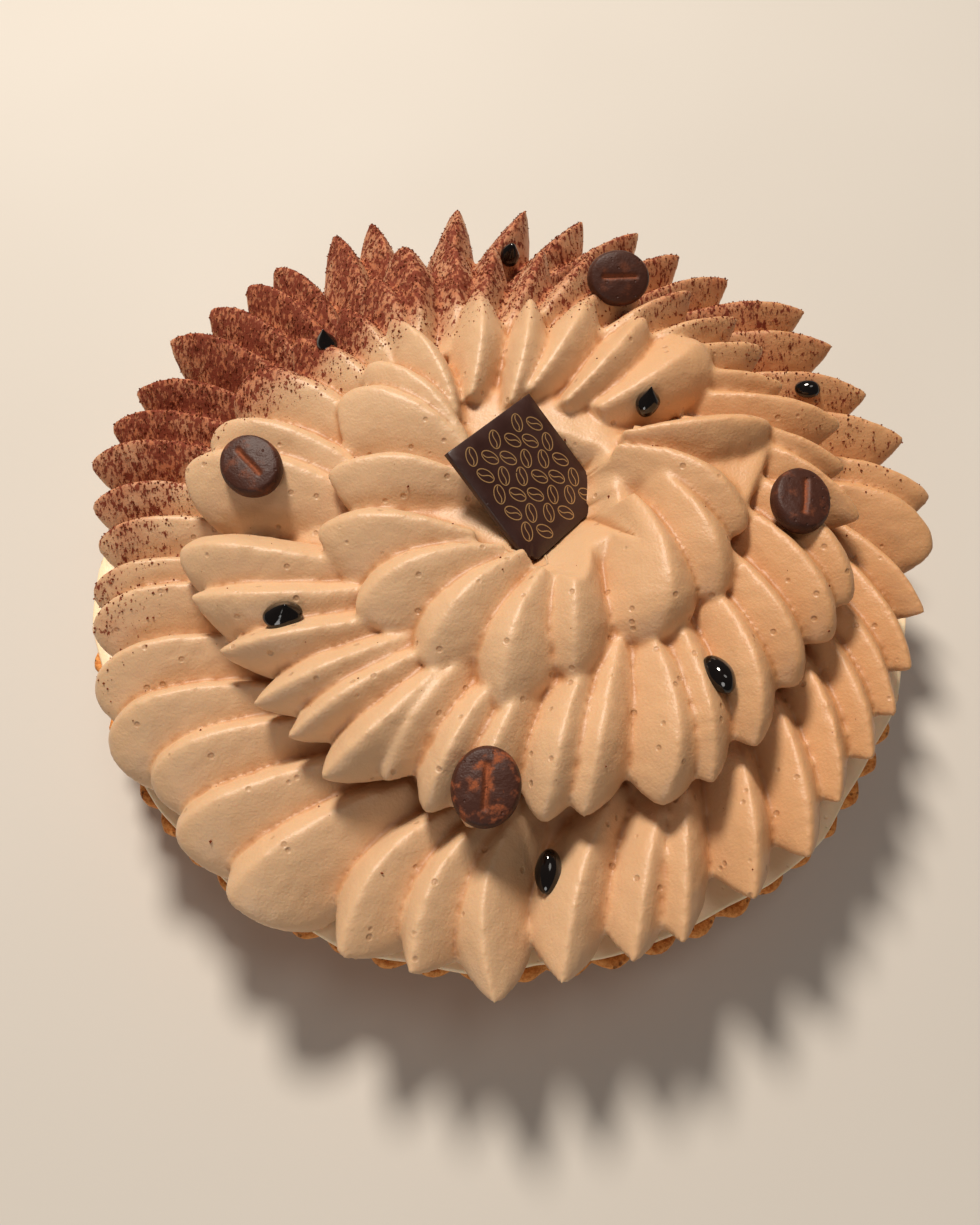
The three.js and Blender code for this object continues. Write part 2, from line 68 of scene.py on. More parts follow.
# Each ring has a centre of its own and a petal's tip at each azimuth. The sizes of the petals follow the
# stations: azimuth, reach of the tip, turn out of the radius, width, rise, lean and bow of the ridge, and
# roundness of the tip, from a sharp 0 to a round 1.
OUTER_RING = dict(
    seed=5, centre=(1, 4), base=CREAM_BASE, length=58, nose=18, tail_width=0.8, front_drop=0,
    tips=(2.5, 12.5, 21.5, 31.5, 39, 51.5, 60.5, 68, 77, 86, 96.5, 110, 116, 126.5, 132, 139, 147, 157.5,
          164, 171, 178, 184.5, 192.5, 198.5, 207.5, 215, 222.5, 230, 239.5, 253, 260.5, 269, 275.5,
          283, 288.5, 297.5, 305.5, 313, 320.5, 327.5, 334.5, 343.5, 355),
    stations=(
        (3, 142, -21, 24, 26, 0.3, 0, 0.4), (19, 140, -29, 21, 25.5, 0.3, 0, 0.3),
        (32, 144, -33, 20, 25.5, 0.2, 0, 0.3), (39, 146, -34, 21, 25.5, 0.2, 0, 0.3),
        (52, 140, -33, 20, 25.5, 0.1, 1, 0.4), (68, 147, -30, 20, 25.5, 0, 2, 0.3),
        (90, 151, -21, 20, 26, -0.1, 2.6, 0.25), (107, 151, -12, 20, 26.5, -0.2, 2.6, 0.25),
        (125, 147, -4, 20, 25.5, -0.25, 2.6, 0.5), (147, 146, 5, 20, 25.5, -0.3, 2.6, 0.5),
        (157, 141, 5, 20, 25.5, -0.3, 2.6, 0.5), (169, 143, 6, 21, 25, -0.3, 2.6, 0.6),
        (182, 134, -2, 21, 25, -0.3, 2.6, 0.7), (192, 133, -8, 22, 26, -0.3, 2.6, 0.8),
        (203, 136, -15, 27, 28, -0.35, 2.6, 0.9), (214, 140, -23, 29, 28.5, -0.35, 2.6, 0.95),
        (222, 136.5, -26, 28, 27.5, -0.3, 1.5, 0.9), (230, 141, -25, 29, 26.5, -0.3, -0.5, 0.8),
        (239, 145, -27, 31, 26, -0.25, 1, 0.6),
        (253, 147, -23, 26, 25.5, -0.2, 7, 0.3), (261, 148, -24, 24, 25.5, -0.2, 7, 0.2),
        (269, 153, -13, 24, 25.5, -0.1, 8, 0.2), (276, 147, -27, 23, 25.5, 0.1, 3, 0.2),
        (283, 146, -28, 23, 25.5, 0.12, 2, 0.2), (291, 144, -24, 23, 25.5, 0.12, 0, 0.2),
        (299, 143, -30, 23, 25.5, 0.15, -2, 0.2), (314, 137, -34, 22, 25.5, 0.2, -2.5, 0.25),
        (338, 135, -41, 21, 25.5, 0.22, -2.5, 0.25), (347, 136, -32, 23, 26, 0.25, -2, 0.3),
        (355, 141, -12, 29, 27, 0.3, -7, 0.7)))
MIDDLE_RING = dict(
    seed=9, centre=(6, 0), base=56, length=54, nose=16, tail_width=0.8, front_drop=6,
    tips=(4.5, 14, 26, 35, 43.5, 54, 65, 75, 84.5, 94, 102, 111, 119, 128, 140, 154, 167, 175.5, 192,
          201.5, 213, 224, 232, 240, 248, 255.5, 262, 272.5, 278.5, 290.5, 298, 307, 320, 330, 338, 354.5),
    stations=(
        (5, 104, -28, 19, 23, 0.2, 0, 0.5), (14, 109, -27, 19, 23, 0.2, 0, 0.5),
        (26, 99, -25, 20, 23, 0.15, 0, 0.5), (44, 107, -22, 20, 24, 0.1, 1, 0.4),
        (65, 106, -20, 20, 25, 0, 2, 0.35), (94, 110, -16, 20, 24, -0.1, 2.4, 0.35),
        (111, 116, -12, 24, 26, -0.15, 2.4, 0.6), (119, 106, -10, 21, 24, -0.2, 2.4, 0.45),
        (128, 99, -8, 22, 23, -0.2, 2.4, 0.35), (140, 99, -7, 23, 23, -0.25, 2.4, 0.4),
        (154, 104, -6, 29, 23, -0.3, 2.4, 1), (167, 102, -5, 27, 23, -0.3, 2.4, 0.8),
        (175, 105, -8, 28, 23, -0.25, 2, 0.7), (192, 104, -21, 27, 23, 0, -1, 0.6),
        (202, 105, -17, 24, 22, 0.1, -3.5, 0.2), (213, 102, -22, 22, 22, 0.2, -1, 0.2),
        (224, 104, -18, 21, 22, 0.2, 0, 0.2), (232, 105, -17, 21, 22, 0.2, 1, 0.2),
        (240, 109, -16, 22, 23, 0.1, -2, 0.25), (248, 100, -15, 20, 22, 0, 2.4, 0.3),
        (258, 107, -16, 21, 22, 0.05, 2.4, 0.6), (271, 105, -21, 21, 22, 0.1, 2, 0.5),
        (278, 105, -23, 22, 22, 0.1, 1, 0.3), (290, 107, -17, 25, 23, 0.15, -4, 0.6),
        (298, 107, -19, 22, 23, 0.15, -1, 0.3), (307, 105, -22, 22, 23, 0.15, -4, 0.4),
        (320, 101, -23, 22, 23, 0.2, -2, 0.7), (338, 104, -35, 24, 23, 0.25, -2, 0.6),
        (355, 104, -34, 18, 23, 0.25, 0, 0.5)))
# The petals of the inner ring one by one: azimuth and the same seven sizes.
INNER_RING = dict(
    centre=(13, 8), base=66, length=47, nose=15, tail_width=0.45, front_drop=6,
    petals=(
        (225, 77, -22, 27, 21, -0.2, 2, 0.35), (203, 73, -27, 26, 21, -0.2, 0.5, 0.4),
        (187, 66, -13, 24, 21, -0.25, 2, 0.5), (160, 68, -9, 27, 21, -0.35, 2, 0.7),
        (147, 67, -12, 22, 21, -0.3, 2, 0.6), (131, 75, -12, 20, 21, -0.25, 2, 0.4),
        (106, 73, -18, 21, 21, -0.1, 2, 0.35), (92, 66, -11, 19, 21, 0, 2, 0.35),
        (75, 69, -12, 22, 21, -0.1, 2, 0.5), (58, 68, -5, 21, 21, -0.1, 2, 0.5),
        (42, 73, -3, 31, 20, -0.3, 2, 1), (8.5, 73, -4, 22, 22, 0, 2, 0.6),
        (336, 66, -12, 25, 22, 0.25, -3, 0.6), (316, 70, -22, 24, 21, 0.2, -2, 0.6),
        (296, 70, -18, 28, 21, 0.3, -2, 0.8), (275.5, 75.5, -9, 22, 21, 0, 1, 0.5),
        (261, 84, -11, 25, 21, -0.1, 2, 0.3), (244, 79, -16, 26, 21, -0.1, 2, 0.4)))
# The section of this one is given as (inset, share of the rise) from below.
FLAT_PETAL = dict(azimuth=-5, reach=68, turn=-19, length=42, width=33, tail_width=6, base=66, rise=11.5,
                  section=((6, 0), (1, 0.5), (0, 0.8), (1.2, 1)))
PETAL = dict(sharp_height=0.88, round_height=0.5, keel=1.35, crest_run=22, shoulder=0.43, usual_width=20,
             tip_power=1.6, tail_narrowing=1.4, tail_rise=0.75, ridge_fall=1.8,
             flank_power=1.5, crest_fullness=0.8, widest_at=0.25, foot_width=0.45, nose_rings=9,
             body_rings=22, flank_points=13, flank_spacing=1.15, front_power=0.7)
JITTER = dict(reach=1.2, turn=2.5, width=0.8, rise=0.7)
# How the petals run together: rounds of smoothing, fewer on the ridges, then bumps as (size, depth). A
# valley or a hollow is found by smoothing over its reach, in rounds, and is full at its depth.
# The valleys and hollows are darkened as painted shade in the cream's colour.
CREAM = dict(voxel=0.95, ridge_reach=6, ridge_height=0.5, ridge_rounds=2, rounds=4, swells=(13, 0.35),
             ripples=(3.6, 0.17), valley_reach=8, valley_depth=0.35, hollow_reach=70, hollow_depth=2.6)

# The edge is given in shares of the outline and of half the thickness, from below. The dust is the
# cocoa on each bean.
BEAN = dict(length=21.5, width=18.5, thickness=7.0, groove_width=1.5, groove_depth=0.9, groove_end=0.62,
            groove_taper=0.12, groove_sway=0.45, groove_waves=2.6, groove_powder=1.1, dome_foot=0.5,
            dome_width=0.97, dome_power=0.9, dome=(0.9, 0.04, 26), top_from=0.3, bumps=(5, 0.28),
            fine_bumps=(1.6, 0.09), length_bumps=0.01, dust=(0.45, 0.3, 0.5, 1.5),
            edge=((0.45, -1), (0.8, -0.97), (0.93, -0.75), (0.985, -0.4), (1, -0.05), (0.985, 0.25),
                  (0.95, 0.5)))
# Where each bean lies: its middle, the way its face looks and the heading of its groove.
BEANS = (
    ((-76, 3, 80), (-0.1, -0.2, 1), -54),
    ((41, 82, 83), (0.1, -0.62, 0.8), -4),
    ((90, -10, 80), (0.22, -0.15, 1), 76),
    ((-4, -98, 74.5), (0, -0.3, 1), 82))
# Gel drops: middle, (length, width, height), heading, and how far the top is drawn to a peak.
DROPS = (
    ((-62, -47, 76), (11.5, 8.5, 9), 10, 0.75),
    ((-58, 58, 77), (9, 7, 10), 120, 0.8),
    ((4.5, 124.3, 57.3), (8, 7.5, 10), 0, 0.5),
    ((47, 27.5, 82), (9, 7.5, 11), 60, 0.85),
    ((108.3, 54.4, 58.6), (9, 7.5, 5.5), 0, 0.3),
    ((60, -66, 76), (12.5, 8, 7), -62, 0.25),
    ((12.8, -114.2, 53.7), (12.5, 7.5, 7), 84, 0.2))
GEL = dict(fullness=0.85, lean=0.22, foot_angle=0.12, top_angle=0.1, rings=22, bumps=(5, 0.5),
           drift=(0.6, 0.6, 0.2))
# The bite out of one corner is given as shares of the notch.
PLAQUE = dict(side=41.2, thickness=2.4, middle=(8.8, 0, 78), along=(0.6, -0.62, -0.507),
              across=(0.6, 0.765, -0.228), notch=4.0, seat_slope=2.2, covered_corner=11, ease=0.35,
              warp=(14, 0.16),
              bite=((-1, 0), (-0.82, 0.3), (-0.55, 0.38), (-0.5, 0.66), (-0.2, 0.74), (0, 1)))


# ---- Meshes -----------------------------------------------------------------------------------------

def new_piece(name, points, faces, smooth=True):
    """A mesh object from points in millimetres."""
    mesh = bpy.data.meshes.new(name)
    mesh.from_pydata([tuple(p) for p in np.asarray(points, float) * MM], [], [tuple(f) for f in faces])
    mesh.validate()
    mesh.update()
    piece = bpy.data.objects.new(name, mesh)
    bpy.context.scene.collection.objects.link(piece)
    if smooth:
        mesh.shade_smooth()
    return piece


def loft_faces(rings, sides, first, last):
    """Faces of closed rings of points numbered from 0, shut at each end by a fan to one point."""
    faces = []
    for i in range(sides):
        j = (i + 1) % sides
        faces.append((first, j, i))
        for k in range(rings - 1):
            a, b = k * sides, (k + 1) * sides
            faces.append((a + i, a + j, b + j, b + i))
        a = (rings - 1) * sides
        faces.append((a + i, a + j, last))
    return faces


def loft(rings, first, last):
    """Points and faces of a closed form through rings of points."""
    rings = np.asarray(rings, float)
    count, sides = rings.shape[:2]
    points = np.vstack([rings.reshape(-1, 3), [first], [last]])
    return points, loft_faces(count, sides, count * sides, count * sides + 1)


def turned(points, degrees):
    """Points turned about the vertical."""
    a = math.radians(degrees)
    turn = np.array([[math.cos(a), -math.sin(a), 0], [math.sin(a), math.cos(a), 0], [0, 0, 1]])
    return points @ turn.T


def paint(mesh, name, values):
    """A value at each point of a mesh, for its material to read."""
    layer = mesh.attributes.new(name, "FLOAT", "POINT")
    layer.data.foreach_set("value", np.asarray(values, np.float32))


def seeded(seed):
    """Repeatable random numbers from -1 to 1."""
    low_bits = 0xFFFFFFFF
    state = (seed * 2654435761) & low_bits

    def draw():
        nonlocal state
        state = ((state ^ (state >> 15)) * 2246822519 + 374761393) & low_bits
        mixed = ((state ^ (state >> 13)) * 3266489917) & low_bits
        return mixed / 4294967295 * 2 - 1
    return draw


def sizes_at(stations, azimuth):
    """The sizes that a ring's stations give at an azimuth, eased from each one to the next."""
    azimuth %= 360
    following = next((i for i, row in enumerate(stations) if row[0] > azimuth), 0)
    before, after = stations[following - 1], stations[following]
    span = (after[0] - before[0]) % 360
    share = ((azimuth - before[0]) % 360) / span
    return [b + (a - b) * share for b, a in zip(before, after)][1:]


# ---- Piped petals -----------------------------------------------------------------------------------

def tip_drop(ring, azimuth):
    """How much lower a petal's tip hangs: most at the front, where it rests on the ring below."""
    return ring["front_drop"] * max(0, -math.sin(math.radians(azimuth))) ** PETAL["front_power"]


def tip_height(rise, roundness, drop):
    """Height of a petal's tip over the petal's base: round tips hang lower than sharp ones."""
    sharp, blunt = PETAL["sharp_height"], PETAL["round_height"]
    return rise * (sharp + (blunt - sharp) * roundness) - drop


def petal_section(ring, distance, width, rise, roundness, drop):
    """Half-width, foot and top of a petal at a distance behind its tip."""
    length, nose = ring["length"], ring["nose"]
    tip = tip_height(rise, roundness, drop)
    run = PETAL["crest_run"]
    sharp_climb = math.sin(math.pi / 2 * min(1, distance / run))
    round_climb = math.sqrt(1 - (1 - min(1, distance / nose)) ** 2)
    top = tip + (rise - tip) * (sharp_climb + (round_climb - sharp_climb) * roundness)
    if distance > run:
        behind = (distance - run) / (length - run)
        top *= 1 - (1 - PETAL["tail_rise"]) * behind ** PETAL["ridge_fall"]
    foot = tip * max(0, 1 - distance / nose) ** PETAL["keel"]
    shoulder = PETAL["shoulder"] * length * PETAL["usual_width"] / width
    if distance < shoulder:
        ahead = 1 - distance / shoulder
        spread = (1 - roundness) * (1 - ahead ** PETAL["tip_power"]) + roundness * math.sqrt(1 - ahead ** 2)
    else:
        behind = (distance - shoulder) / (length - shoulder)
        spread = 1 - (1 - ring["tail_width"]) * behind ** PETAL["tail_narrowing"]
    return width / 2 * spread, foot, top


def flank(share):
    """Share of the half-width at a share of the height: a ridge on top of full flanks."""
    widest = PETAL["widest_at"]
    if share >= widest:
        return (1 - ((share - widest) / (1 - widest)) ** PETAL["flank_power"]) ** PETAL["crest_fullness"]
    return PETAL["foot_width"] + (1 - PETAL["foot_width"]) * math.sqrt(1 - (1 - share / widest) ** 2)


def petal(ring, width, rise, lean, bow, roundness, drop):
    """A petal with its tip at the origin and its tail towards -X. Its ridge leans and bows sideways."""
    length, nose = ring["length"], ring["nose"]
    tip = tip_height(rise, roundness, drop)
    quarter = np.linspace(0, math.pi / 2, PETAL["nose_rings"] + 1)[1:]
    round_nose = [nose * (1 - math.cos(t)) for t in quarter]
    body = list(np.linspace(nose, length, PETAL["body_rings"] + 1)[1:])
    shares = 1 - np.linspace(0, 1, PETAL["flank_points"]) ** PETAL["flank_spacing"]
    flanks = [flank(s) for s in shares]
    rings = []
    for distance in round_nose + body:
        half, foot, top = petal_section(ring, distance, width, rise, roundness, drop)
        sideways = -4 * bow * (distance / length) * (1 - distance / length)
        side = [(half * f, foot + s * (top - foot)) for f, s in zip(flanks, shares)]
        left = [(-distance, sideways + lean * (z - tip) + y, z) for y, z in side]
        right = [(-distance, sideways + lean * (z - tip) - y, z) for y, z in side[:0:-1]]
        rings.append(left + right)
    tail = petal_section(ring, length, width, rise, roundness, drop)[2] / 2
    return loft(rings, (0, 0, tip), (-length, lean * (tail - tip), tail))


def place_petal(ring, azimuth, reach, turn, form):
    """A petal's form with its tip set at an azimuth and a reach from the ring's centre."""
    points, faces = form
    a = math.radians(azimuth)
    centre = ring["centre"]
    at = (centre[0] + reach * math.cos(a), centre[1] + reach * math.sin(a), ring["base"])
    return turned(points, azimuth + turn) + at, faces


def ring_petals(ring):
    """The petals of a ring, each a little off the sizes that the stations give it."""
    draw = seeded(ring["seed"])
    for azimuth in ring["tips"]:
        reach, turn, width, rise, lean, bow, roundness = sizes_at(ring["stations"], azimuth)
        width += JITTER["width"] * draw()
        rise += JITTER["rise"] * draw()
        reach += JITTER["reach"] * draw()
        turn += JITTER["turn"] * draw()
        form = petal(ring, width, rise, lean, bow, roundness, tip_drop(ring, azimuth))
        yield place_petal(ring, azimuth, reach, turn, form)


def inner_petals():
    """The petals of the inner ring."""
    ring = INNER_RING
    for azimuth, reach, turn, width, rise, lean, bow, roundness in ring["petals"]:
        form = petal(ring, width, rise, lean, bow, roundness, tip_drop(ring, azimuth))
        yield place_petal(ring, azimuth, reach, turn, form)


def flat_petal():
    """The petal that spread into a fan with a straight outer edge."""
    f = FLAT_PETAL
    length, half, half_tail = f["length"], f["width"] / 2, f["tail_width"] / 2
    outline = ((0, half), (-length, half_tail), (-length, -half_tail), (0, -half))
    rings = [[(x - inset, y * (1 - inset / half), share * f["rise"]) for x, y in outline]
             for inset, share in f["section"]]
    points, faces = loft(rings, (-length / 2, 0, 0), (-length / 2, 0, f["rise"]))
    ring = dict(centre=INNER_RING["centre"], base=f["base"])
    return place_petal(ring, f["azimuth"], f["reach"], f["turn"], (points, faces))


def mound(sides=96):
    """The cream under the petals."""
    profile = [(MOUND[0][0], CREAM_BASE)] + list(MOUND[:-1])
    angles = np.linspace(0, 2 * math.pi, sides, endpoint=False)
    rings = [[(MOUND_CENTRE[0] + r * math.cos(a), MOUND_CENTRE[1] + r * math.sin(a), z) for a in angles]
             for r, z in profile]
    return loft(rings, (*MOUND_CENTRE, CREAM_BASE), (*MOUND_CENTRE, MOUND[-1][1]))


def joined(forms):
    """Points and faces of several forms as one."""
    points, faces, start = [], [], 0
    for form_points, form_faces in forms:
        points.append(form_points)
        faces.extend(tuple(start + i for i in face) for face in form_faces)
        start += len(form_points)
    return np.vstack(points), faces


def flowed_together(piece, voxel):
    """The piece's overlapping forms run into one skin, as soft cream does."""
    remesh = piece.modifiers.new("flow", "REMESH")
    remesh.mode = "VOXEL"
    remesh.voxel_size = voxel * MM
    depsgraph = bpy.context.evaluated_depsgraph_get()
    mesh = bpy.data.meshes.new_from_object(piece.evaluated_get(depsgraph))
    piece.modifiers.clear()
    old = piece.data
    piece.data = mesh
    bpy.data.meshes.remove(old)
    mesh.name = piece.name


class Skin:
    """A mesh's points and edges as arrays, for smoothing and for reading how it curves."""

    def __init__(self, mesh):
        self.mesh = mesh
        self.count = len(mesh.vertices)
        self.points = np.empty(self.count * 3)
        mesh.vertices.foreach_get("co", self.points)
        self.points = self.points.reshape(-1, 3)
        edges = np.empty(len(mesh.edges) * 2, int)
        mesh.edges.foreach_get("vertices", edges)
        a, b = edges.reshape(-1, 2).T
        self.near, self.far = np.concatenate([a, b]), np.concatenate([b, a])
        self.neighbours = np.maximum(np.bincount(self.near, minlength=self.count), 1)

    def averaged(self, values):
        columns = [np.bincount(self.near, values[self.far, k], self.count) for k in range(values.shape[1])]
        return np.stack(columns, 1) / self.neighbours[:, None]

    def smoothed(self, values, rounds, strength=0.5):
        for _ in range(rounds):
            values = values + strength * (self.averaged(values) - values)
        return values

    def normals(self):
        out = np.empty(self.count * 3)
        self.mesh.vertices.foreach_get("normal", out)
        return out.reshape(-1, 3)

    def write(self, points):
        self.points = points
        self.mesh.vertices.foreach_set("co", points.reshape(-1))
        self.mesh.update()

    def hollowness(self, rounds):
        """How far each point lies below its smoothed surroundings, in millimetres."""
        return ((self.smoothed(self.points, rounds) - self.points) * self.normals()).sum(1) / MM


def unevenness(points, size, depth):
    """A smooth random depth at each point, for bumps of about this size, all in millimetres."""
    return depth * np.array([noise(Vector(p) / size) for p in points])


# Cocoa: at each azimuth, how thickly it lies and the radius where it starts.
COCOA = (
    (0, 0.0, 106), (12, 0.34, 100), (28, 0.54, 90), (50, 0.7, 74), (70, 0.8, 62), (90, 0.9, 57),
    (108, 0.96, 57), (120, 1.02, 58), (134, 1.1, 60), (148, 1.1, 64), (157, 1.05, 70), (166, 0.94, 84),
    (175, 0.82, 90), (184, 0.7, 95), (192, 0.56, 99), (200, 0.42, 104), (210, 0.0, 110), (360, 0.0, 110))
DUSTING = dict(run=26, run_power=0.8, on_sides=0.4, on_level=0.85)


def cocoa_density(points, normals):
    """How thickly cocoa lies at each point, from 0 to 1: less of it on steep sides."""
    x, y = (points / MM).T[:2]
    azimuth = np.degrees(np.arctan2(y, x)) % 360
    places, thickness, start = np.array(COCOA).T
    beyond = np.clip((np.hypot(x, y) - np.interp(azimuth, places, start)) / DUSTING["run"], 0, 1)
    sides = DUSTING["on_sides"]
    lying = np.clip(sides + DUSTING["on_level"] * normals[:, 2], sides, 1)
    thick = np.interp(azimuth, places, thickness) * beyond ** DUSTING["run_power"] * lying
    return np.minimum(1, thick)


def pressed_under_plaque(points):
    """The cream's points pressed below the plaque, and to a slope round it, but for its covered corner."""
    axes = plaque_axes()
    lying = (points / MM - np.array(PLAQUE["middle"])) @ axes.T
    half = PLAQUE["side"] / 2 + GAP
    outside = np.maximum(np.abs(lying[:, :2]) - half, 0)
    distance = np.hypot(*outside.T)
    underside = -PLAQUE["thickness"] / 2 - GAP
    limit = np.where(distance > 0, PLAQUE["seat_slope"] * distance, underside)
    excess = np.maximum(lying[:, 2] - limit, 0)
    excess[lying[:, 0] + lying[:, 1] > 2 * half - PLAQUE["covered_corner"]] = 0
    return points - excess[:, None] * axes[2] * MM


def piped_cream():
    """The petals and the mound as one skin, painted with its valleys, its hollows and its cocoa."""
    forms = [*ring_petals(OUTER_RING), *ring_petals(MIDDLE_RING), *inner_petals(), flat_petal(), mound()]
    piece = new_piece("piped_cream", *joined(forms))
    flowed_together(piece, CREAM["voxel"])
    skin = Skin(piece.data)
    points = pressed_under_plaque(skin.points)
    ridge = np.clip(-skin.hollowness(CREAM["ridge_reach"]) / CREAM["ridge_height"], 0, 1)[:, None]
    points = (skin.smoothed(points, CREAM["ridge_rounds"]) * ridge
              + skin.smoothed(points, CREAM["rounds"]) * (1 - ridge))
    points = pressed_under_plaque(points)
    skin.write(points)
    depth = unevenness(points / MM, *CREAM["swells"]) + unevenness(points / MM, *CREAM["ripples"])
    skin.write(points + skin.normals() * depth[:, None] * MM)
    # The valleys and hollows drive painted shade in the cream's colour.
    for layer in ("valley", "hollow"):
        depth = skin.hollowness(CREAM[f"{layer}_reach"]) / CREAM[f"{layer}_depth"]
        paint(piece.data, layer, np.clip(depth, -1, 1) * 0.5 + 0.5)
    paint(piece.data, "cocoa", cocoa_density(skin.points, skin.normals()))
    piece.data.shade_smooth()
    return piece


# ---- Pastry shell and filling -----------------------------------------------------------------------

def edge_height(angle):
    """Height of the baked edge, which rises and falls round the shell in waves of three lengths."""
    wave = math.sin(5 * angle + 0.7) + 0.8 * math.sin(11 * angle + 2.1) + 0.6 * math.sin(29 * angle)
    return SHELL["height"] + SHELL["edge_unevenness"] * wave / 2.4


def wall_radius(z):
    """Radius over the flutes' crests at a height."""
    return SHELL["base_radius"] + (SHELL["rim_radius"] - SHELL["base_radius"]) * z / SHELL["height"]


def fluted_ring(radius, height, depth=None):
    """Points round the tart, drawn in between the flutes; the height is a function of the angle."""
    depth = SHELL["flute_depth"] if depth is None else depth
    samples = SHELL["flutes"] * SHELL["points_per_flute"]
    ring = []
    for i in range(samples):
        angle = 2 * math.pi * i / samples
        lobe = math.sqrt(math.cos(SHELL["flutes"] * angle / 2) ** 2 + SHELL["fold_softness"])
        r = radius - depth * (1 - lobe)
        ring.append((r * math.cos(angle), r * math.sin(angle), height(angle)))
    return ring


def baked(points):
    """Points of a baked crust, pushed about as crumb is."""
    outward = points.copy()
    outward[:, 2] = 0
    outward /= np.maximum(np.linalg.norm(outward, axis=1), 1e-6)[:, None]
    shift = unevenness(points, *SHELL["crumb_bumps"]) + unevenness(points, *SHELL["fine_bumps"])
    return points + outward * shift[:, None]


def pastry_shell():
    """The fluted shell: up its outside, over the baked edge and down to its floor."""
    wall = SHELL["wall"]
    rim = SHELL["height"]
    rings = [fluted_ring(wall_radius(0) - SHELL["foot_inset"], lambda a: 0)]
    rings += [fluted_ring(wall_radius(z), lambda a, z=z: z) for z in SHELL["outer_levels"]]
    for inset, drop in (*SHELL["edge"], (wall, SHELL["inner_drop"])):
        rings.append(fluted_ring(wall_radius(rim) - inset, lambda a, d=drop: edge_height(a) - d))
    inside = (SHELL["inner_level"], SHELL["floor"])
    rings += [fluted_ring(wall_radius(z) - wall, lambda a, z=z: z) for z in inside]
    points, faces = loft(rings, (0, 0, 0), (0, 0, SHELL["floor"]))
    side = points[:, 2] > SHELL["smooth_foot"]
    points[side] = baked(points[side])
    tall = points[:, 2] > rim - SHELL["edge_band"]
    points[tall, 2] += unevenness(points[tall], *SHELL["edge_bumps"])
    return new_piece("fluted_shell", points, faces)


def lip_ring(inset, height):
    """A ring of points round the filling's lip, whose edge runs in short straight stretches."""
    samples = SHELL["flutes"] * SHELL["points_per_flute"]
    draw = seeded(LIP["seed"])
    reach = [LIP["radius"] + LIP["unevenness"] * draw() for _ in range(LIP["stretches"])]
    ring = []
    for i in range(samples):
        along = i / samples * LIP["stretches"]
        share = min(1, (along % 1) / LIP["straight"])
        here, following = reach[int(along)], reach[(int(along) + 1) % LIP["stretches"]]
        angle = 2 * math.pi * i / samples
        r = here + (following - here) * share - inset
        ring.append((r * math.cos(angle), r * math.sin(angle), height))
    return ring


def cream_filling():
    """The cream in the shell, from its floor up to the lip."""
    inset = SHELL["wall"] + GAP
    foot = SHELL["floor"] + GAP
    under = FILLING_TOP - LIP["thickness"]
    rings = [fluted_ring(wall_radius(foot) - inset, lambda a: foot)]
    rings += [fluted_ring(wall_radius(under) - inset, lambda a: under)]
    lip = ((0.9, under), (0.2, under + 0.4), (0, under + 1.1), (0.25, FILLING_TOP - 0.3),
           (0.8, FILLING_TOP), (3, FILLING_TOP))
    rings += [lip_ring(inset, z) for inset, z in lip]
    rings += [fluted_ring(r, lambda a: FILLING_TOP, depth=0) for r in FILLING["top_rings"]]
    points, faces = loft(rings, (0, 0, foot), (0, 0, FILLING_TOP))
    top = points[:, 2] > FILLING_TOP - 0.1
    points[top, 2] -= np.abs(unevenness(points[top], *FILLING["bumps"]))
    return new_piece("filling_cream", points, faces)


# ---- Toppings ---------------------------------------------------------------------------------------

def lying(points, at, faces_to, heading):
    """Points modelled on the XY plane, set on a spot and facing along a direction."""
    up = Vector(faces_to).normalized()
    along = Vector((math.cos(math.radians(heading)), math.sin(math.radians(heading)), 0))
    along = (along - up * along.dot(up)).normalized()
    across = up.cross(along)
    turn = np.array([along, across, up])
    return points @ turn + np.array(at)


def chocolate_bean(number, at, faces_to, heading, sides=72):
    """An oval bean: a rolled edge, a low dome and a wavy groove."""
    a, b, h = BEAN["length"] / 2, BEAN["width"] / 2, BEAN["thickness"] / 2
    foot = BEAN["dome_foot"]
    section = list(BEAN["edge"])
    for share in np.linspace(*BEAN["dome"]):
        arch = math.sqrt(max(0, 1 - (share / BEAN["dome_width"]) ** 2)) ** BEAN["dome_power"]
        section.append((share, foot + (1 - foot) * arch))
    angles = np.linspace(0, 2 * math.pi, sides, endpoint=False)
    rings = [[(a * s * math.cos(t), b * s * math.sin(t), h * level) for t in angles]
             for s, level in section]
    points, faces = loft(rings, (0, 0, -h), (0, 0, h))
    x, y, z = points.T
    top = z > BEAN["top_from"] * h
    off = y - BEAN["groove_sway"] * np.sin(x / a * BEAN["groove_waves"])
    within = np.clip((BEAN["groove_end"] - np.abs(x) / a) / BEAN["groove_taper"], 0, 1)
    width = BEAN["groove_width"] / 2
    groove = -BEAN["groove_depth"] * np.exp(-(off / width) ** 2)
    z[top] += (groove * within)[top]
    own = points + 50 * number
    shift = unevenness(own, *BEAN["bumps"]) + unevenness(own, *BEAN["fine_bumps"])
    z[top] += shift[top]
    x *= (1 + BEAN["length_bumps"] * shift) ** 2
    piece = new_piece(f"chocolate_bean_{number}", lying(points, at, faces_to, heading), faces)
    paint(piece.data, "groove", np.exp(-(off / (BEAN["groove_powder"] * width)) ** 2) * within * top)
    paint(piece.data, "dust", np.full(len(x), BEAN["dust"][number - 1]))
    return piece


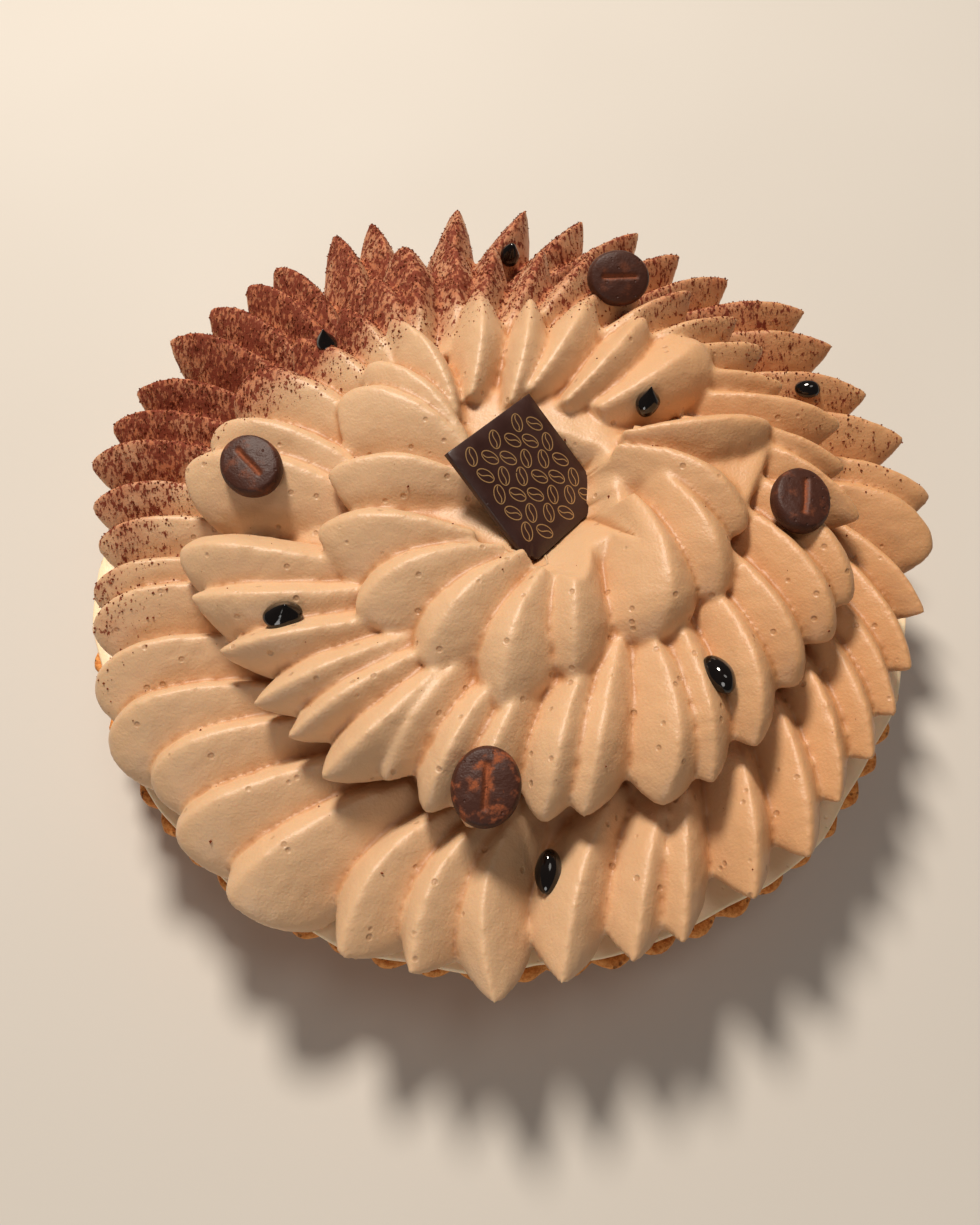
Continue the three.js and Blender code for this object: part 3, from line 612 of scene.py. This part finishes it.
def coffee_gel(number, at, size, heading, peak, sides=40):
    """A drop of gel: an egg shape drawn up to a peak that leans a little."""
    a, b, h = (v / 2 for v in size)
    slopes = np.linspace(GEL["foot_angle"], math.pi - GEL["top_angle"], GEL["rings"])
    section = [(math.sin(t) ** GEL["fullness"], -math.cos(t)) for t in slopes]
    angles = np.linspace(0, 2 * math.pi, sides, endpoint=False)
    rings = []
    for share, level in section:
        drawn = share * (1 - peak * max(0, level))
        lean = GEL["lean"] * a * max(0, level) ** 2
        rings.append([(a * drawn * math.cos(t) + lean, b * drawn * math.sin(t), h * level) for t in angles])
    points, faces = loft(rings, (0, 0, -h), (GEL["lean"] * a, 0, h))
    points += unevenness(points + 30 * number, *GEL["bumps"])[:, None] * np.array(GEL["drift"])
    return new_piece(f"coffee_gel_{number}", lying(points, at, (0, 0, 1), heading), faces)


def plaque_axes():
    """Directions along the plaque's two sides and out of its face."""
    along = Vector(PLAQUE["along"]).normalized()
    across = Vector(PLAQUE["across"])
    across = (across - along * across.dot(along)).normalized()
    return np.array([along, across, along.cross(across)])


def on_plaque(points):
    """Points modelled round the plaque's middle, set in its place."""
    return np.asarray(points, float) @ plaque_axes() + np.array(PLAQUE["middle"])


def chocolate_plaque():
    """The square plaque, its edges eased and one corner nibbled away."""
    s, t, n = PLAQUE["side"] / 2, PLAQUE["thickness"] / 2, PLAQUE["notch"]
    bite = [(s + n * x, -s + n * y) for x, y in PLAQUE["bite"]]
    corners = [(-s, -s), *bite, (s, s), (-s, s)]
    outline = []
    for (x0, y0), (x1, y1) in zip(corners, corners[1:] + corners[:1]):
        steps = 12 if math.hypot(x1 - x0, y1 - y0) > n * 2 else 2
        outline += [(x0 + (x1 - x0) * k / steps, y0 + (y1 - y0) * k / steps) for k in range(steps)]
    ease = PLAQUE["ease"]
    levels = ((ease, -t), (0, -t + ease), (0, t - ease), (ease, t), (4, t), (12, t))
    rings = [[(x * (1 - inset / s), y * (1 - inset / s), z) for x, y in outline] for inset, z in levels]
    points, faces = loft(rings, (0, 0, -t), (0, 0, t))
    points[:, 2] += unevenness(points, *PLAQUE["warp"])
    return new_piece("chocolate_plaque", on_plaque(points), faces)


# ---- Gold print on the plaque: a field of small bean outlines ---------------------------------------

PRINT = dict(columns=5, rows=6, bean_length=6.0, bean_width=3.9, line=0.34, lift=0.06, margin=3.4,
             stagger=0.25, tilt=35, seam_reach=0.86, seam_sway=0.28, seam_waves=3.2)


def ribbon(path, width, closed):
    """A flat line of a width along a path in the plane."""
    path = np.asarray(path, float)
    if closed:
        ahead, behind = np.roll(path, -1, 0), np.roll(path, 1, 0)
    else:
        ahead, behind = np.vstack([path[1:], path[-1:]]), np.vstack([path[:1], path[:-1]])
    along = ahead - behind
    along /= np.linalg.norm(along, axis=1)[:, None]
    side = np.column_stack([-along[:, 1], along[:, 0]]) * width / 2
    count = len(path)
    points = np.vstack([path + side, path - side])
    steps = count if closed else count - 1
    faces = [(i + count, (i + 1) % count + count, (i + 1) % count, i) for i in range(steps)]
    return points, faces


def gold_print():
    """Small coffee-bean outlines in staggered rows, each an oval with a wavy line through it."""
    half = PLAQUE["side"] / 2 - PRINT["margin"]
    a, b = PRINT["bean_length"] / 2, PRINT["bean_width"] / 2
    angles = np.linspace(0, 2 * math.pi, 40, endpoint=False)
    oval = np.column_stack([a * np.cos(angles), b * np.sin(angles)])
    run = np.linspace(-PRINT["seam_reach"], PRINT["seam_reach"], 18)
    seam = np.column_stack([a * run, PRINT["seam_sway"] * b * np.sin(run * PRINT["seam_waves"])])
    forms = []
    for row in range(PRINT["rows"]):
        for column in range(PRINT["columns"]):
            stagger = PRINT["stagger"] * (1 if row % 2 else -1)
            cx = -half + 2 * half * (column + 0.5 + stagger) / PRINT["columns"]
            cy = -half + 2 * half * (row + 0.5) / PRINT["rows"]
            tilt = math.radians(PRINT["tilt"] * (1 if (row + column) % 2 else -1))
            turn = np.array([[math.cos(tilt), math.sin(tilt)], [-math.sin(tilt), math.cos(tilt)]])
            for path, closed in ((oval, True), (seam, False)):
                forms.append(ribbon(path @ turn + (cx, cy), PRINT["line"], closed))
    points, faces = joined(forms)
    surface = PLAQUE["thickness"] / 2
    flat = np.column_stack([points, np.zeros(len(points))])
    flat[:, 2] = surface + PRINT["lift"] + unevenness(flat + (0, 0, surface), *PLAQUE["warp"])
    return new_piece("gold_print", on_plaque(flat), faces)


# ---- Cocoa grains -----------------------------------------------------------------------------------

GRAINS = dict(seed=21, dusted=17000, strays=150, smallest=0.14, largest=0.5, few_large=2.4, patch=5,
              thinnest=0.35, gathered=1.3, lumpiness=(0.6, 1.25), skew=0.2, sunk=0.35)


def cocoa_grains(mesh):
    """Loose grains of cocoa on the cream: thick where it was dusted, a few strays elsewhere."""
    random = np.random.RandomState(GRAINS["seed"])
    count = len(mesh.polygons)
    centres, normals, areas = np.empty(count * 3), np.empty(count * 3), np.empty(count)
    mesh.polygons.foreach_get("center", centres)
    mesh.polygons.foreach_get("normal", normals)
    mesh.polygons.foreach_get("area", areas)
    centres, normals = centres.reshape(-1, 3), normals.reshape(-1, 3)
    facing_up = np.clip(normals[:, 2], 0, 1) * areas
    dusted = facing_up * cocoa_density(centres, normals) ** GRAINS["gathered"]
    patch = GRAINS["patch"] * MM
    patchy = GRAINS["thinnest"] + np.array([max(0, noise(Vector(c) / patch)) for c in centres])
    chosen = np.concatenate([
        random.choice(count, GRAINS["dusted"], p=dusted * patchy / (dusted * patchy).sum()),
        random.choice(count, GRAINS["strays"], p=facing_up / facing_up.sum())])
    corners = np.array([(1, 0, 0), (-1, 0, 0), (0, 1, 0), (0, -1, 0), (0, 0, 1), (0, 0, -1)], float)
    sides = np.array([(0, 2, 4), (2, 1, 4), (1, 3, 4), (3, 0, 4),
                      (2, 0, 5), (1, 2, 5), (3, 1, 5), (0, 3, 5)])
    spread = random.uniform(size=len(chosen)) ** GRAINS["few_large"]
    radius = GRAINS["smallest"] + (GRAINS["largest"] - GRAINS["smallest"]) * spread
    stretched = random.uniform(*GRAINS["lumpiness"], (len(chosen), 6, 1))
    lumps = corners[None] * stretched * radius[:, None, None]
    lumps += random.uniform(-GRAINS["skew"], GRAINS["skew"], lumps.shape) * radius[:, None, None]
    slide = random.uniform(-0.5, 0.5, (len(chosen), 3)) * CREAM["voxel"]
    slide -= (slide * normals[chosen]).sum(1)[:, None] * normals[chosen]
    middles = centres[chosen] / MM + slide + normals[chosen] * radius[:, None] * GRAINS["sunk"]
    points = (middles[:, None] + lumps).reshape(-1, 3)
    faces = (sides[None] + 6 * np.arange(len(chosen))[:, None, None]).reshape(-1, 3)
    return new_piece("cocoa_grains", points, faces, smooth=False)


# ---- Materials --------------------------------------------------------------------------------------

def srgb(red, green, blue):
    """A colour given as 0 to 255 on screen, as the shader takes it."""
    def linear(v):
        v /= 255
        return v / 12.92 if v <= 0.04045 else ((v + 0.055) / 1.055) ** 2.4
    return (linear(red), linear(green), linear(blue), 1)


class Wiring:
    """Short ways to add and join shader nodes in one tree."""

    def __init__(self, tree):
        self.tree = tree

    def add(self, kind, inputs=(), **settings):
        node = self.tree.nodes.new(kind)
        for name, value in settings.items():
            setattr(node, name, value)
        for name, value in dict(inputs).items():
            self.feed(node.inputs[name], value)
        return node

    def feed(self, socket, value):
        if isinstance(value, bpy.types.NodeSocket):
            self.tree.links.new(value, socket)
        else:
            socket.default_value = value

    def math(self, operation, a, b=0.0):
        node = self.add("ShaderNodeMath", operation=operation)
        self.feed(node.inputs[0], a)
        self.feed(node.inputs[1], b)
        return node.outputs[0]

    def blend(self, factor, a, b):
        """Colour a where the factor is 0, b where it is 1."""
        node = self.add("ShaderNodeMix", data_type="RGBA")
        self.feed(node.inputs["Factor"], factor)
        self.feed(node.inputs[6], a)
        self.feed(node.inputs[7], b)
        return node.outputs[2]

    def between(self, value, low, high, to_low=0.0, to_high=1.0):
        """The value eased from one range to another."""
        node = self.add("ShaderNodeMapRange", interpolation_type="SMOOTHSTEP")
        for name, v in (("Value", value), ("From Min", low), ("From Max", high), ("To Min", to_low),
                        ("To Max", to_high)):
            self.feed(node.inputs[name], v)
        return node.outputs[0]

    def place(self):
        return self.add("ShaderNodeTexCoord").outputs["Object"]

    def speckle(self, vector, per_mm, detail=2.0, roughness=0.5):
        """Soft random patches, this many to the millimetre."""
        inputs = {"Vector": vector, "Scale": per_mm / MM, "Detail": detail, "Roughness": roughness}
        return self.add("ShaderNodeTexNoise", inputs).outputs["Fac"]

    def attribute(self, name):
        return self.add("ShaderNodeAttribute", attribute_name=name).outputs["Fac"]


def node_group(name, inputs, outputs):
    """An empty shader node group with named sockets."""
    tree = bpy.data.node_groups.new(name, "ShaderNodeTree")
    for socket, kind, value in inputs:
        made = tree.interface.new_socket(socket, in_out="INPUT", socket_type=kind)
        if value is not None:
            made.default_value = value
    for socket, kind in outputs:
        tree.interface.new_socket(socket, in_out="OUTPUT", socket_type=kind)
    wire = Wiring(tree)
    return tree, wire, wire.add("NodeGroupInput").outputs, wire.add("NodeGroupOutput").inputs


def crumb_relief_group():
    """Height of fine grain and of small pits, for bump."""
    tree, wire, given, out = node_group(
        "crumb relief",
        [("Vector", "NodeSocketVector", None), ("Grain per mm", "NodeSocketFloat", 1.2),
         ("Pits per mm", "NodeSocketFloat", 0.2), ("Pit size", "NodeSocketFloat", 0.2),
         ("Pit share", "NodeSocketFloat", 0.25)],
        [("Height", "NodeSocketFloat"), ("Pits", "NodeSocketFloat")])
    grain_scale = wire.math("DIVIDE", given["Grain per mm"], MM)
    pit_scale = wire.math("DIVIDE", given["Pits per mm"], MM)
    grain = wire.add("ShaderNodeTexNoise", {"Vector": given["Vector"], "Scale": grain_scale, "Detail": 3.0})
    cells = wire.add("ShaderNodeTexVoronoi", {"Vector": given["Vector"], "Scale": pit_scale})
    lot = wire.add("ShaderNodeSeparateColor", {"Color": cells.outputs["Color"]}).outputs["Red"]
    taken = wire.math("LESS_THAN", lot, given["Pit share"])
    rim = given["Pit size"]
    bottom = wire.math("MULTIPLY", rim, 0.45)
    pits = wire.math("MULTIPLY", wire.between(cells.outputs["Distance"], rim, bottom), taken)
    sunk = wire.math("MULTIPLY", pits, 2.2)
    wire.feed(out["Pits"], pits)
    wire.feed(out["Height"], wire.math("SUBTRACT", grain.outputs["Fac"], sunk))
    return tree


def cocoa_dust_group():
    """How far cocoa powder covers a spot, for a share of it that lies there, in clots and streaks."""
    tree, wire, given, out = node_group(
        "cocoa dust",
        [("Vector", "NodeSocketVector", None), ("Amount", "NodeSocketFloat", 0.5)],
        [("Cover", "NodeSocketFloat"), ("Color", "NodeSocketColor")])
    streaks = {0: given["Vector"], 1: (1.0, 0.55, 0.4)}
    trickled = wire.add("ShaderNodeVectorMath", streaks, operation="MULTIPLY")
    fine = wire.speckle(trickled.outputs["Vector"], 0.72, 4.0, 0.66)
    broad = wire.speckle(given["Vector"], 0.09, 3.0, 0.6)
    swell = wire.math("MULTIPLY", wire.math("SUBTRACT", broad, 0.5), 0.9)
    patchy = wire.math("ADD", given["Amount"], swell)
    limit = wire.math("SUBTRACT", 0.69, wire.math("MULTIPLY", patchy, 0.29))
    clots = wire.between(fine, limit, wire.math("ADD", limit, 0.1))
    stain = wire.between(patchy, 0.3, 1.1, 0.0, 0.9)
    some = wire.between(given["Amount"], 0.0, 0.12)
    cover = wire.math("MULTIPLY", wire.math("MAXIMUM", clots, stain), some)
    wire.feed(out["Cover"], cover)
    thin_powder, thick_powder = srgb(176, 92, 52), srgb(120, 48, 22)
    wire.feed(out["Color"], wire.blend(clots, thin_powder, thick_powder))
    return tree


CRUMB_RELIEF = crumb_relief_group()
COCOA_DUST = cocoa_dust_group()


def new_material(name):
    """A material, its wiring and its shader."""
    material = bpy.data.materials.new(name)
    material.use_nodes = True
    wire = Wiring(material.node_tree)
    shader = material.node_tree.nodes["Principled BSDF"]
    return material, wire, shader


def use_group(wire, tree, inputs):
    """The outputs of a group placed in a material with its own values."""
    node = wire.add("ShaderNodeGroup", node_tree=tree)
    for name, value in inputs.items():
        wire.feed(node.inputs[name], value)
    return node.outputs


def crumbly(wire, place, grain, pits, size, share):
    """Crumb relief: grain and pits to the millimetre, the pits' size and the share of them that open."""
    return use_group(wire, CRUMB_RELIEF, {"Vector": place, "Grain per mm": grain, "Pits per mm": pits,
                                          "Pit size": size, "Pit share": share})


def set_looks(wire, shader, looks):
    """The shader's sockets, each set to its value or joined to what feeds it."""
    for name, value in looks.items():
        wire.feed(shader.inputs[name], value)


def bump(wire, height, strength, distance):
    """Normals for a height that shows this far, in millimetres."""
    node = wire.add("ShaderNodeBump", {"Height": height, "Strength": strength, "Distance": distance * MM})
    return node.outputs["Normal"]


def cream_material():
    """Coffee cream, warmer to the right, pitted and dusted with cocoa, with painted shade in its hollows,
    creases and pits.
    """
    material, wire, shader = new_material("piped coffee cream")
    place = wire.place()
    relief = crumbly(wire, place, grain=1.1, pits=0.17, size=0.19, share=0.42)
    dust = use_group(wire, COCOA_DUST, {"Vector": place, "Amount": wire.attribute("cocoa")})
    valley, hollow = wire.attribute("valley"), wire.attribute("hollow")
    broad = wire.speckle(place, 0.03, 2.0)
    pale, beige = srgb(216, 178, 140), srgb(208, 168, 128)
    warm_side, pit_shade = srgb(204, 142, 86), srgb(150, 98, 60)
    painted_hollow_shade, painted_crease_shade = srgb(204, 138, 84), srgb(168, 108, 62)
    rightwards = wire.add("ShaderNodeSeparateXYZ", {"Vector": place}).outputs["X"]
    colour = wire.blend(broad, pale, beige)
    colour = wire.blend(wire.between(rightwards, -10 * MM, 110 * MM, 0.0, 0.6), colour, warm_side)
    # Painted shade: darker, more orange colour in the hollows and in the creases between the petals.
    colour = wire.blend(wire.between(hollow, 0.5, 0.85, 0.0, 0.5), colour, painted_hollow_shade)
    colour = wire.blend(wire.between(valley, 0.58, 1.0, 0.0, 0.65), colour, painted_crease_shade)
    # Painted shade: the pits are darkened in the colour.
    colour = wire.blend(wire.math("MULTIPLY", relief["Pits"], 0.35), colour, pit_shade)
    colour = wire.blend(dust["Cover"], colour, dust["Color"])
    set_looks(wire, shader, {
        "Base Color": colour, "Roughness": wire.between(dust["Cover"], 0.0, 1.0, 0.44, 0.85),
        "Subsurface Weight": 0.15, "Subsurface Radius": (1.0, 0.45, 0.2), "Subsurface Scale": 4 * MM,
        "Specular IOR Level": 0.42, "Normal": bump(wire, relief["Height"], 0.5, 0.35)})
    return material


def filling_material():
    """Pale, smoother cream."""
    material, wire, shader = new_material("filling cream")
    place = wire.place()
    relief = crumbly(wire, place, grain=0.8, pits=0.3, size=0.2, share=0.2)
    shade = wire.speckle(place, 0.12, 3.0)
    set_looks(wire, shader, {
        "Base Color": wire.blend(shade, srgb(252, 226, 190), srgb(244, 212, 172)),
        "Roughness": wire.between(shade, 0.3, 0.7, 0.4, 0.55),
        "Subsurface Weight": 0.2, "Subsurface Radius": (1.0, 0.5, 0.3), "Subsurface Scale": 3 * MM,
        "Normal": bump(wire, relief["Height"], 0.4, 0.3)})
    return material


def crust_material():
    """Shortcrust in patches of gold, browned at the rim, with open pits darkened by painted shade."""
    material, wire, shader = new_material("baked shortcrust")
    place = wire.place()
    relief = crumbly(wire, place, grain=1.6, pits=0.45, size=0.32, share=0.5)
    patch = wire.speckle(place, 0.09, 4.0, 0.6)
    crumb = wire.speckle(place, 0.8, 4.0, 0.65)
    height = wire.add("ShaderNodeSeparateXYZ", {"Vector": place}).outputs["Z"]
    golden, tanned, light_crumb = srgb(242, 172, 96), srgb(218, 138, 68), srgb(240, 182, 108)
    brown_rim, pit_shade = srgb(190, 104, 42), srgb(110, 52, 20)
    colour = wire.blend(patch, golden, tanned)
    colour = wire.blend(wire.between(crumb, 0.55, 0.75, 0.0, 0.5), colour, light_crumb)
    near_rim = wire.between(height, 27 * MM, 31.5 * MM)
    browned = wire.math("MULTIPLY", near_rim, wire.between(crumb, 0.35, 0.65))
    colour = wire.blend(browned, colour, brown_rim)
    # Painted shade: the pits are darkened in the colour.
    colour = wire.blend(wire.math("MULTIPLY", relief["Pits"], 0.6), colour, pit_shade)
    set_looks(wire, shader, {
        "Base Color": colour, "Roughness": wire.between(crumb, 0.3, 0.7, 0.6, 0.85),
        "Specular IOR Level": 0.3, "Normal": bump(wire, relief["Height"], 0.9, 0.4)})
    return material


def bean_material():
    """Chocolate with cocoa in patches and in the groove."""
    material, wire, shader = new_material("dusted chocolate")
    place = wire.place()
    relief = crumbly(wire, place, grain=1.5, pits=0.5, size=0.25, share=0.3)
    groove = wire.attribute("groove")
    patch = wire.speckle(place, 0.22, 4.0, 0.6)
    grain = wire.speckle(place, 1.6, 3.0, 0.6)
    dusting = wire.math("MULTIPLY", wire.between(patch, 0.5, 0.72), wire.attribute("dust"))
    amount = wire.math("ADD", dusting, wire.math("MULTIPLY", groove, 0.9))
    powder = wire.math("MINIMUM", amount, 1.0)
    dusty = wire.math("MULTIPLY", powder, wire.between(grain, 0.32, 0.6, 0.45, 1.0))
    colour = wire.blend(dusty, srgb(66, 34, 23), srgb(150, 80, 46))
    set_looks(wire, shader, {
        "Base Color": colour, "Roughness": wire.between(dusty, 0.0, 1.0, 0.5, 0.85),
        "Specular IOR Level": 0.3, "Normal": bump(wire, relief["Height"], 0.6, 0.25)})
    return material


def gel_material():
    """Nearly black gel with a wet gloss."""
    material, wire, shader = new_material("coffee gel")
    place = wire.place()
    swirl = wire.speckle(place, 0.25, 2.0)
    set_looks(wire, shader, {
        "Base Color": wire.blend(swirl, srgb(7, 5, 5), srgb(20, 12, 9)),
        "Roughness": wire.between(swirl, 0.3, 0.7, 0.04, 0.1),
        "Coat Weight": 0.25, "Coat Roughness": 0.03,
        "Normal": bump(wire, wire.speckle(place, 0.3, 2.0), 0.25, 0.3)})
    return material


def plaque_material():
    """Dark chocolate with a faint bloom."""
    material, wire, shader = new_material("dark chocolate")
    place = wire.place()
    relief = crumbly(wire, place, grain=0.9, pits=0.2, size=0.1, share=0.3)
    bloom = wire.speckle(place, 0.1, 3.0)
    set_looks(wire, shader, {
        "Base Color": wire.blend(bloom, srgb(44, 22, 18), srgb(62, 34, 27)),
        "Roughness": wire.between(bloom, 0.3, 0.7, 0.34, 0.48),
        "Normal": bump(wire, relief["Height"], 0.25, 0.2)})
    return material


def gold_material():
    """Worn gold print."""
    material, wire, shader = new_material("gold print")
    worn = wire.speckle(wire.place(), 0.5, 3.0)
    set_looks(wire, shader, {
        "Base Color": wire.blend(worn, srgb(196, 158, 108), srgb(150, 112, 70)),
        "Roughness": wire.between(worn, 0.3, 0.7, 0.4, 0.6), "Metallic": 0.35})
    return material


def grain_material():
    """Loose cocoa in light and dark grains."""
    material, wire, shader = new_material("cocoa powder")
    tone = wire.speckle(wire.place(), 0.35, 2.0)
    set_looks(wire, shader, {
        "Base Color": wire.blend(tone, srgb(84, 36, 20), srgb(150, 76, 46)),
        "Roughness": 0.9, "Specular IOR Level": 0.15})
    return material


# ---- The tart ---------------------------------------------------------------------------------------

def dress(piece, material, slot, *nodes):
    """A piece with its material, riding on the tart, with the nodes that it takes the place of."""
    piece.data.materials.clear()
    piece.data.materials.append(material)
    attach(piece, "root")
    if nodes:
        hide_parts(*nodes)


cream = piped_cream()
dress(cream, cream_material(), "cream", "piped_petals")
dress(cocoa_grains(cream.data), grain_material(), "bean")
dress(pastry_shell(), crust_material(), "shell", "pastry_shell")
dress(cream_filling(), filling_material(), "filling", "cream_filling")
chocolate = bean_material()
for number, (at, faces_to, heading) in enumerate(BEANS, 1):
    dress(chocolate_bean(number, at, faces_to, heading), chocolate, "bean", f"coffee_bean_{number}")
gel = gel_material()
for number, (at, size, heading, peak) in enumerate(DROPS, 1):
    dress(coffee_gel(number, at, size, heading, peak), gel, "gel", f"gel_drop_{number}")
dress(chocolate_plaque(), plaque_material(), "plaque", "plaque")
dress(gold_print(), gold_material(), "plaque")


# ---- Studio -----------------------------------------------------------------------------------------

FLOOR = dict(half_side=3000, below=0.2)
# Each light, in metres: its name, where it hangs, its width, its watts and its colour. They all face
# the middle of the tart.
LIGHTS = (
    ("window", (-0.3, 0.75, 1.35), 0.35, 29, (1.0, 0.92, 0.82)),
    ("ceiling", (0.3, -0.05, 1.7), 0.6, 3, (1.0, 0.94, 0.87)),
    ("fill", (-0.4, -1.2, 0.5), 0.5, 2.8, (1.0, 0.97, 0.93)))
MIDDLE = (0, 0, 0.05)
ROOM_LIGHT = dict(colour=(0.9, 0.86, 0.82, 1), strength=0.1)
CAMERA = dict(at=(-2.987, -189.377, 322.019), tilt=30.15, lens=29.39, sensor=36)


def floor():
    """A wide pale floor just below the tart."""
    s, z = FLOOR["half_side"], -FLOOR["below"]
    corners = [(-s, -s, z), (s, -s, z), (s, s, z), (-s, s, z)]
    piece = new_piece("studio_floor", corners, [(0, 1, 2, 3)], smooth=False)
    material, wire, shader = new_material("pale floor")
    tone = wire.speckle(wire.place(), 0.004, 2.0)
    pale = wire.blend(tone, srgb(206, 200, 192), srgb(198, 191, 182))
    set_looks(wire, shader, {"Base Color": pale, "Roughness": 0.8})
    piece.data.materials.append(material)


def soft_light(name, at, size, watts, colour):
    """A round soft light that faces the middle of the tart."""
    data = bpy.data.lights.new(name, "AREA")
    data.shape = "DISK"
    data.size = size
    data.energy = watts
    data.color = colour
    light = bpy.data.objects.new(name, data)
    light.location = at
    light.rotation_euler = (Vector(MIDDLE) - Vector(at)).to_track_quat("-Z", "Y").to_euler()
    bpy.context.scene.collection.objects.link(light)


def studio():
    """The floor, the lights and a little light from all round."""
    floor()
    for light in LIGHTS:
        soft_light(*light)
    world = bpy.data.worlds.new("studio")
    world.use_nodes = True
    background = world.node_tree.nodes["Background"]
    background.inputs["Color"].default_value = ROOM_LIGHT["colour"]
    background.inputs["Strength"].default_value = ROOM_LIGHT["strength"]
    bpy.context.scene.world = world


def photo_camera():
    """The camera at the place worked out from the photograph."""
    data = bpy.data.cameras.new("camera")
    data.sensor_width = CAMERA["sensor"]
    data.lens = CAMERA["lens"]
    camera = bpy.data.objects.new("camera", data)
    camera.location = Vector(CAMERA["at"]) * MM
    camera.rotation_euler = (math.radians(CAMERA["tilt"]), 0, 0)
    bpy.context.scene.collection.objects.link(camera)
    bpy.context.scene.camera = camera


studio()
photo_camera()
bpy.context.scene.view_settings.view_transform = "Standard"
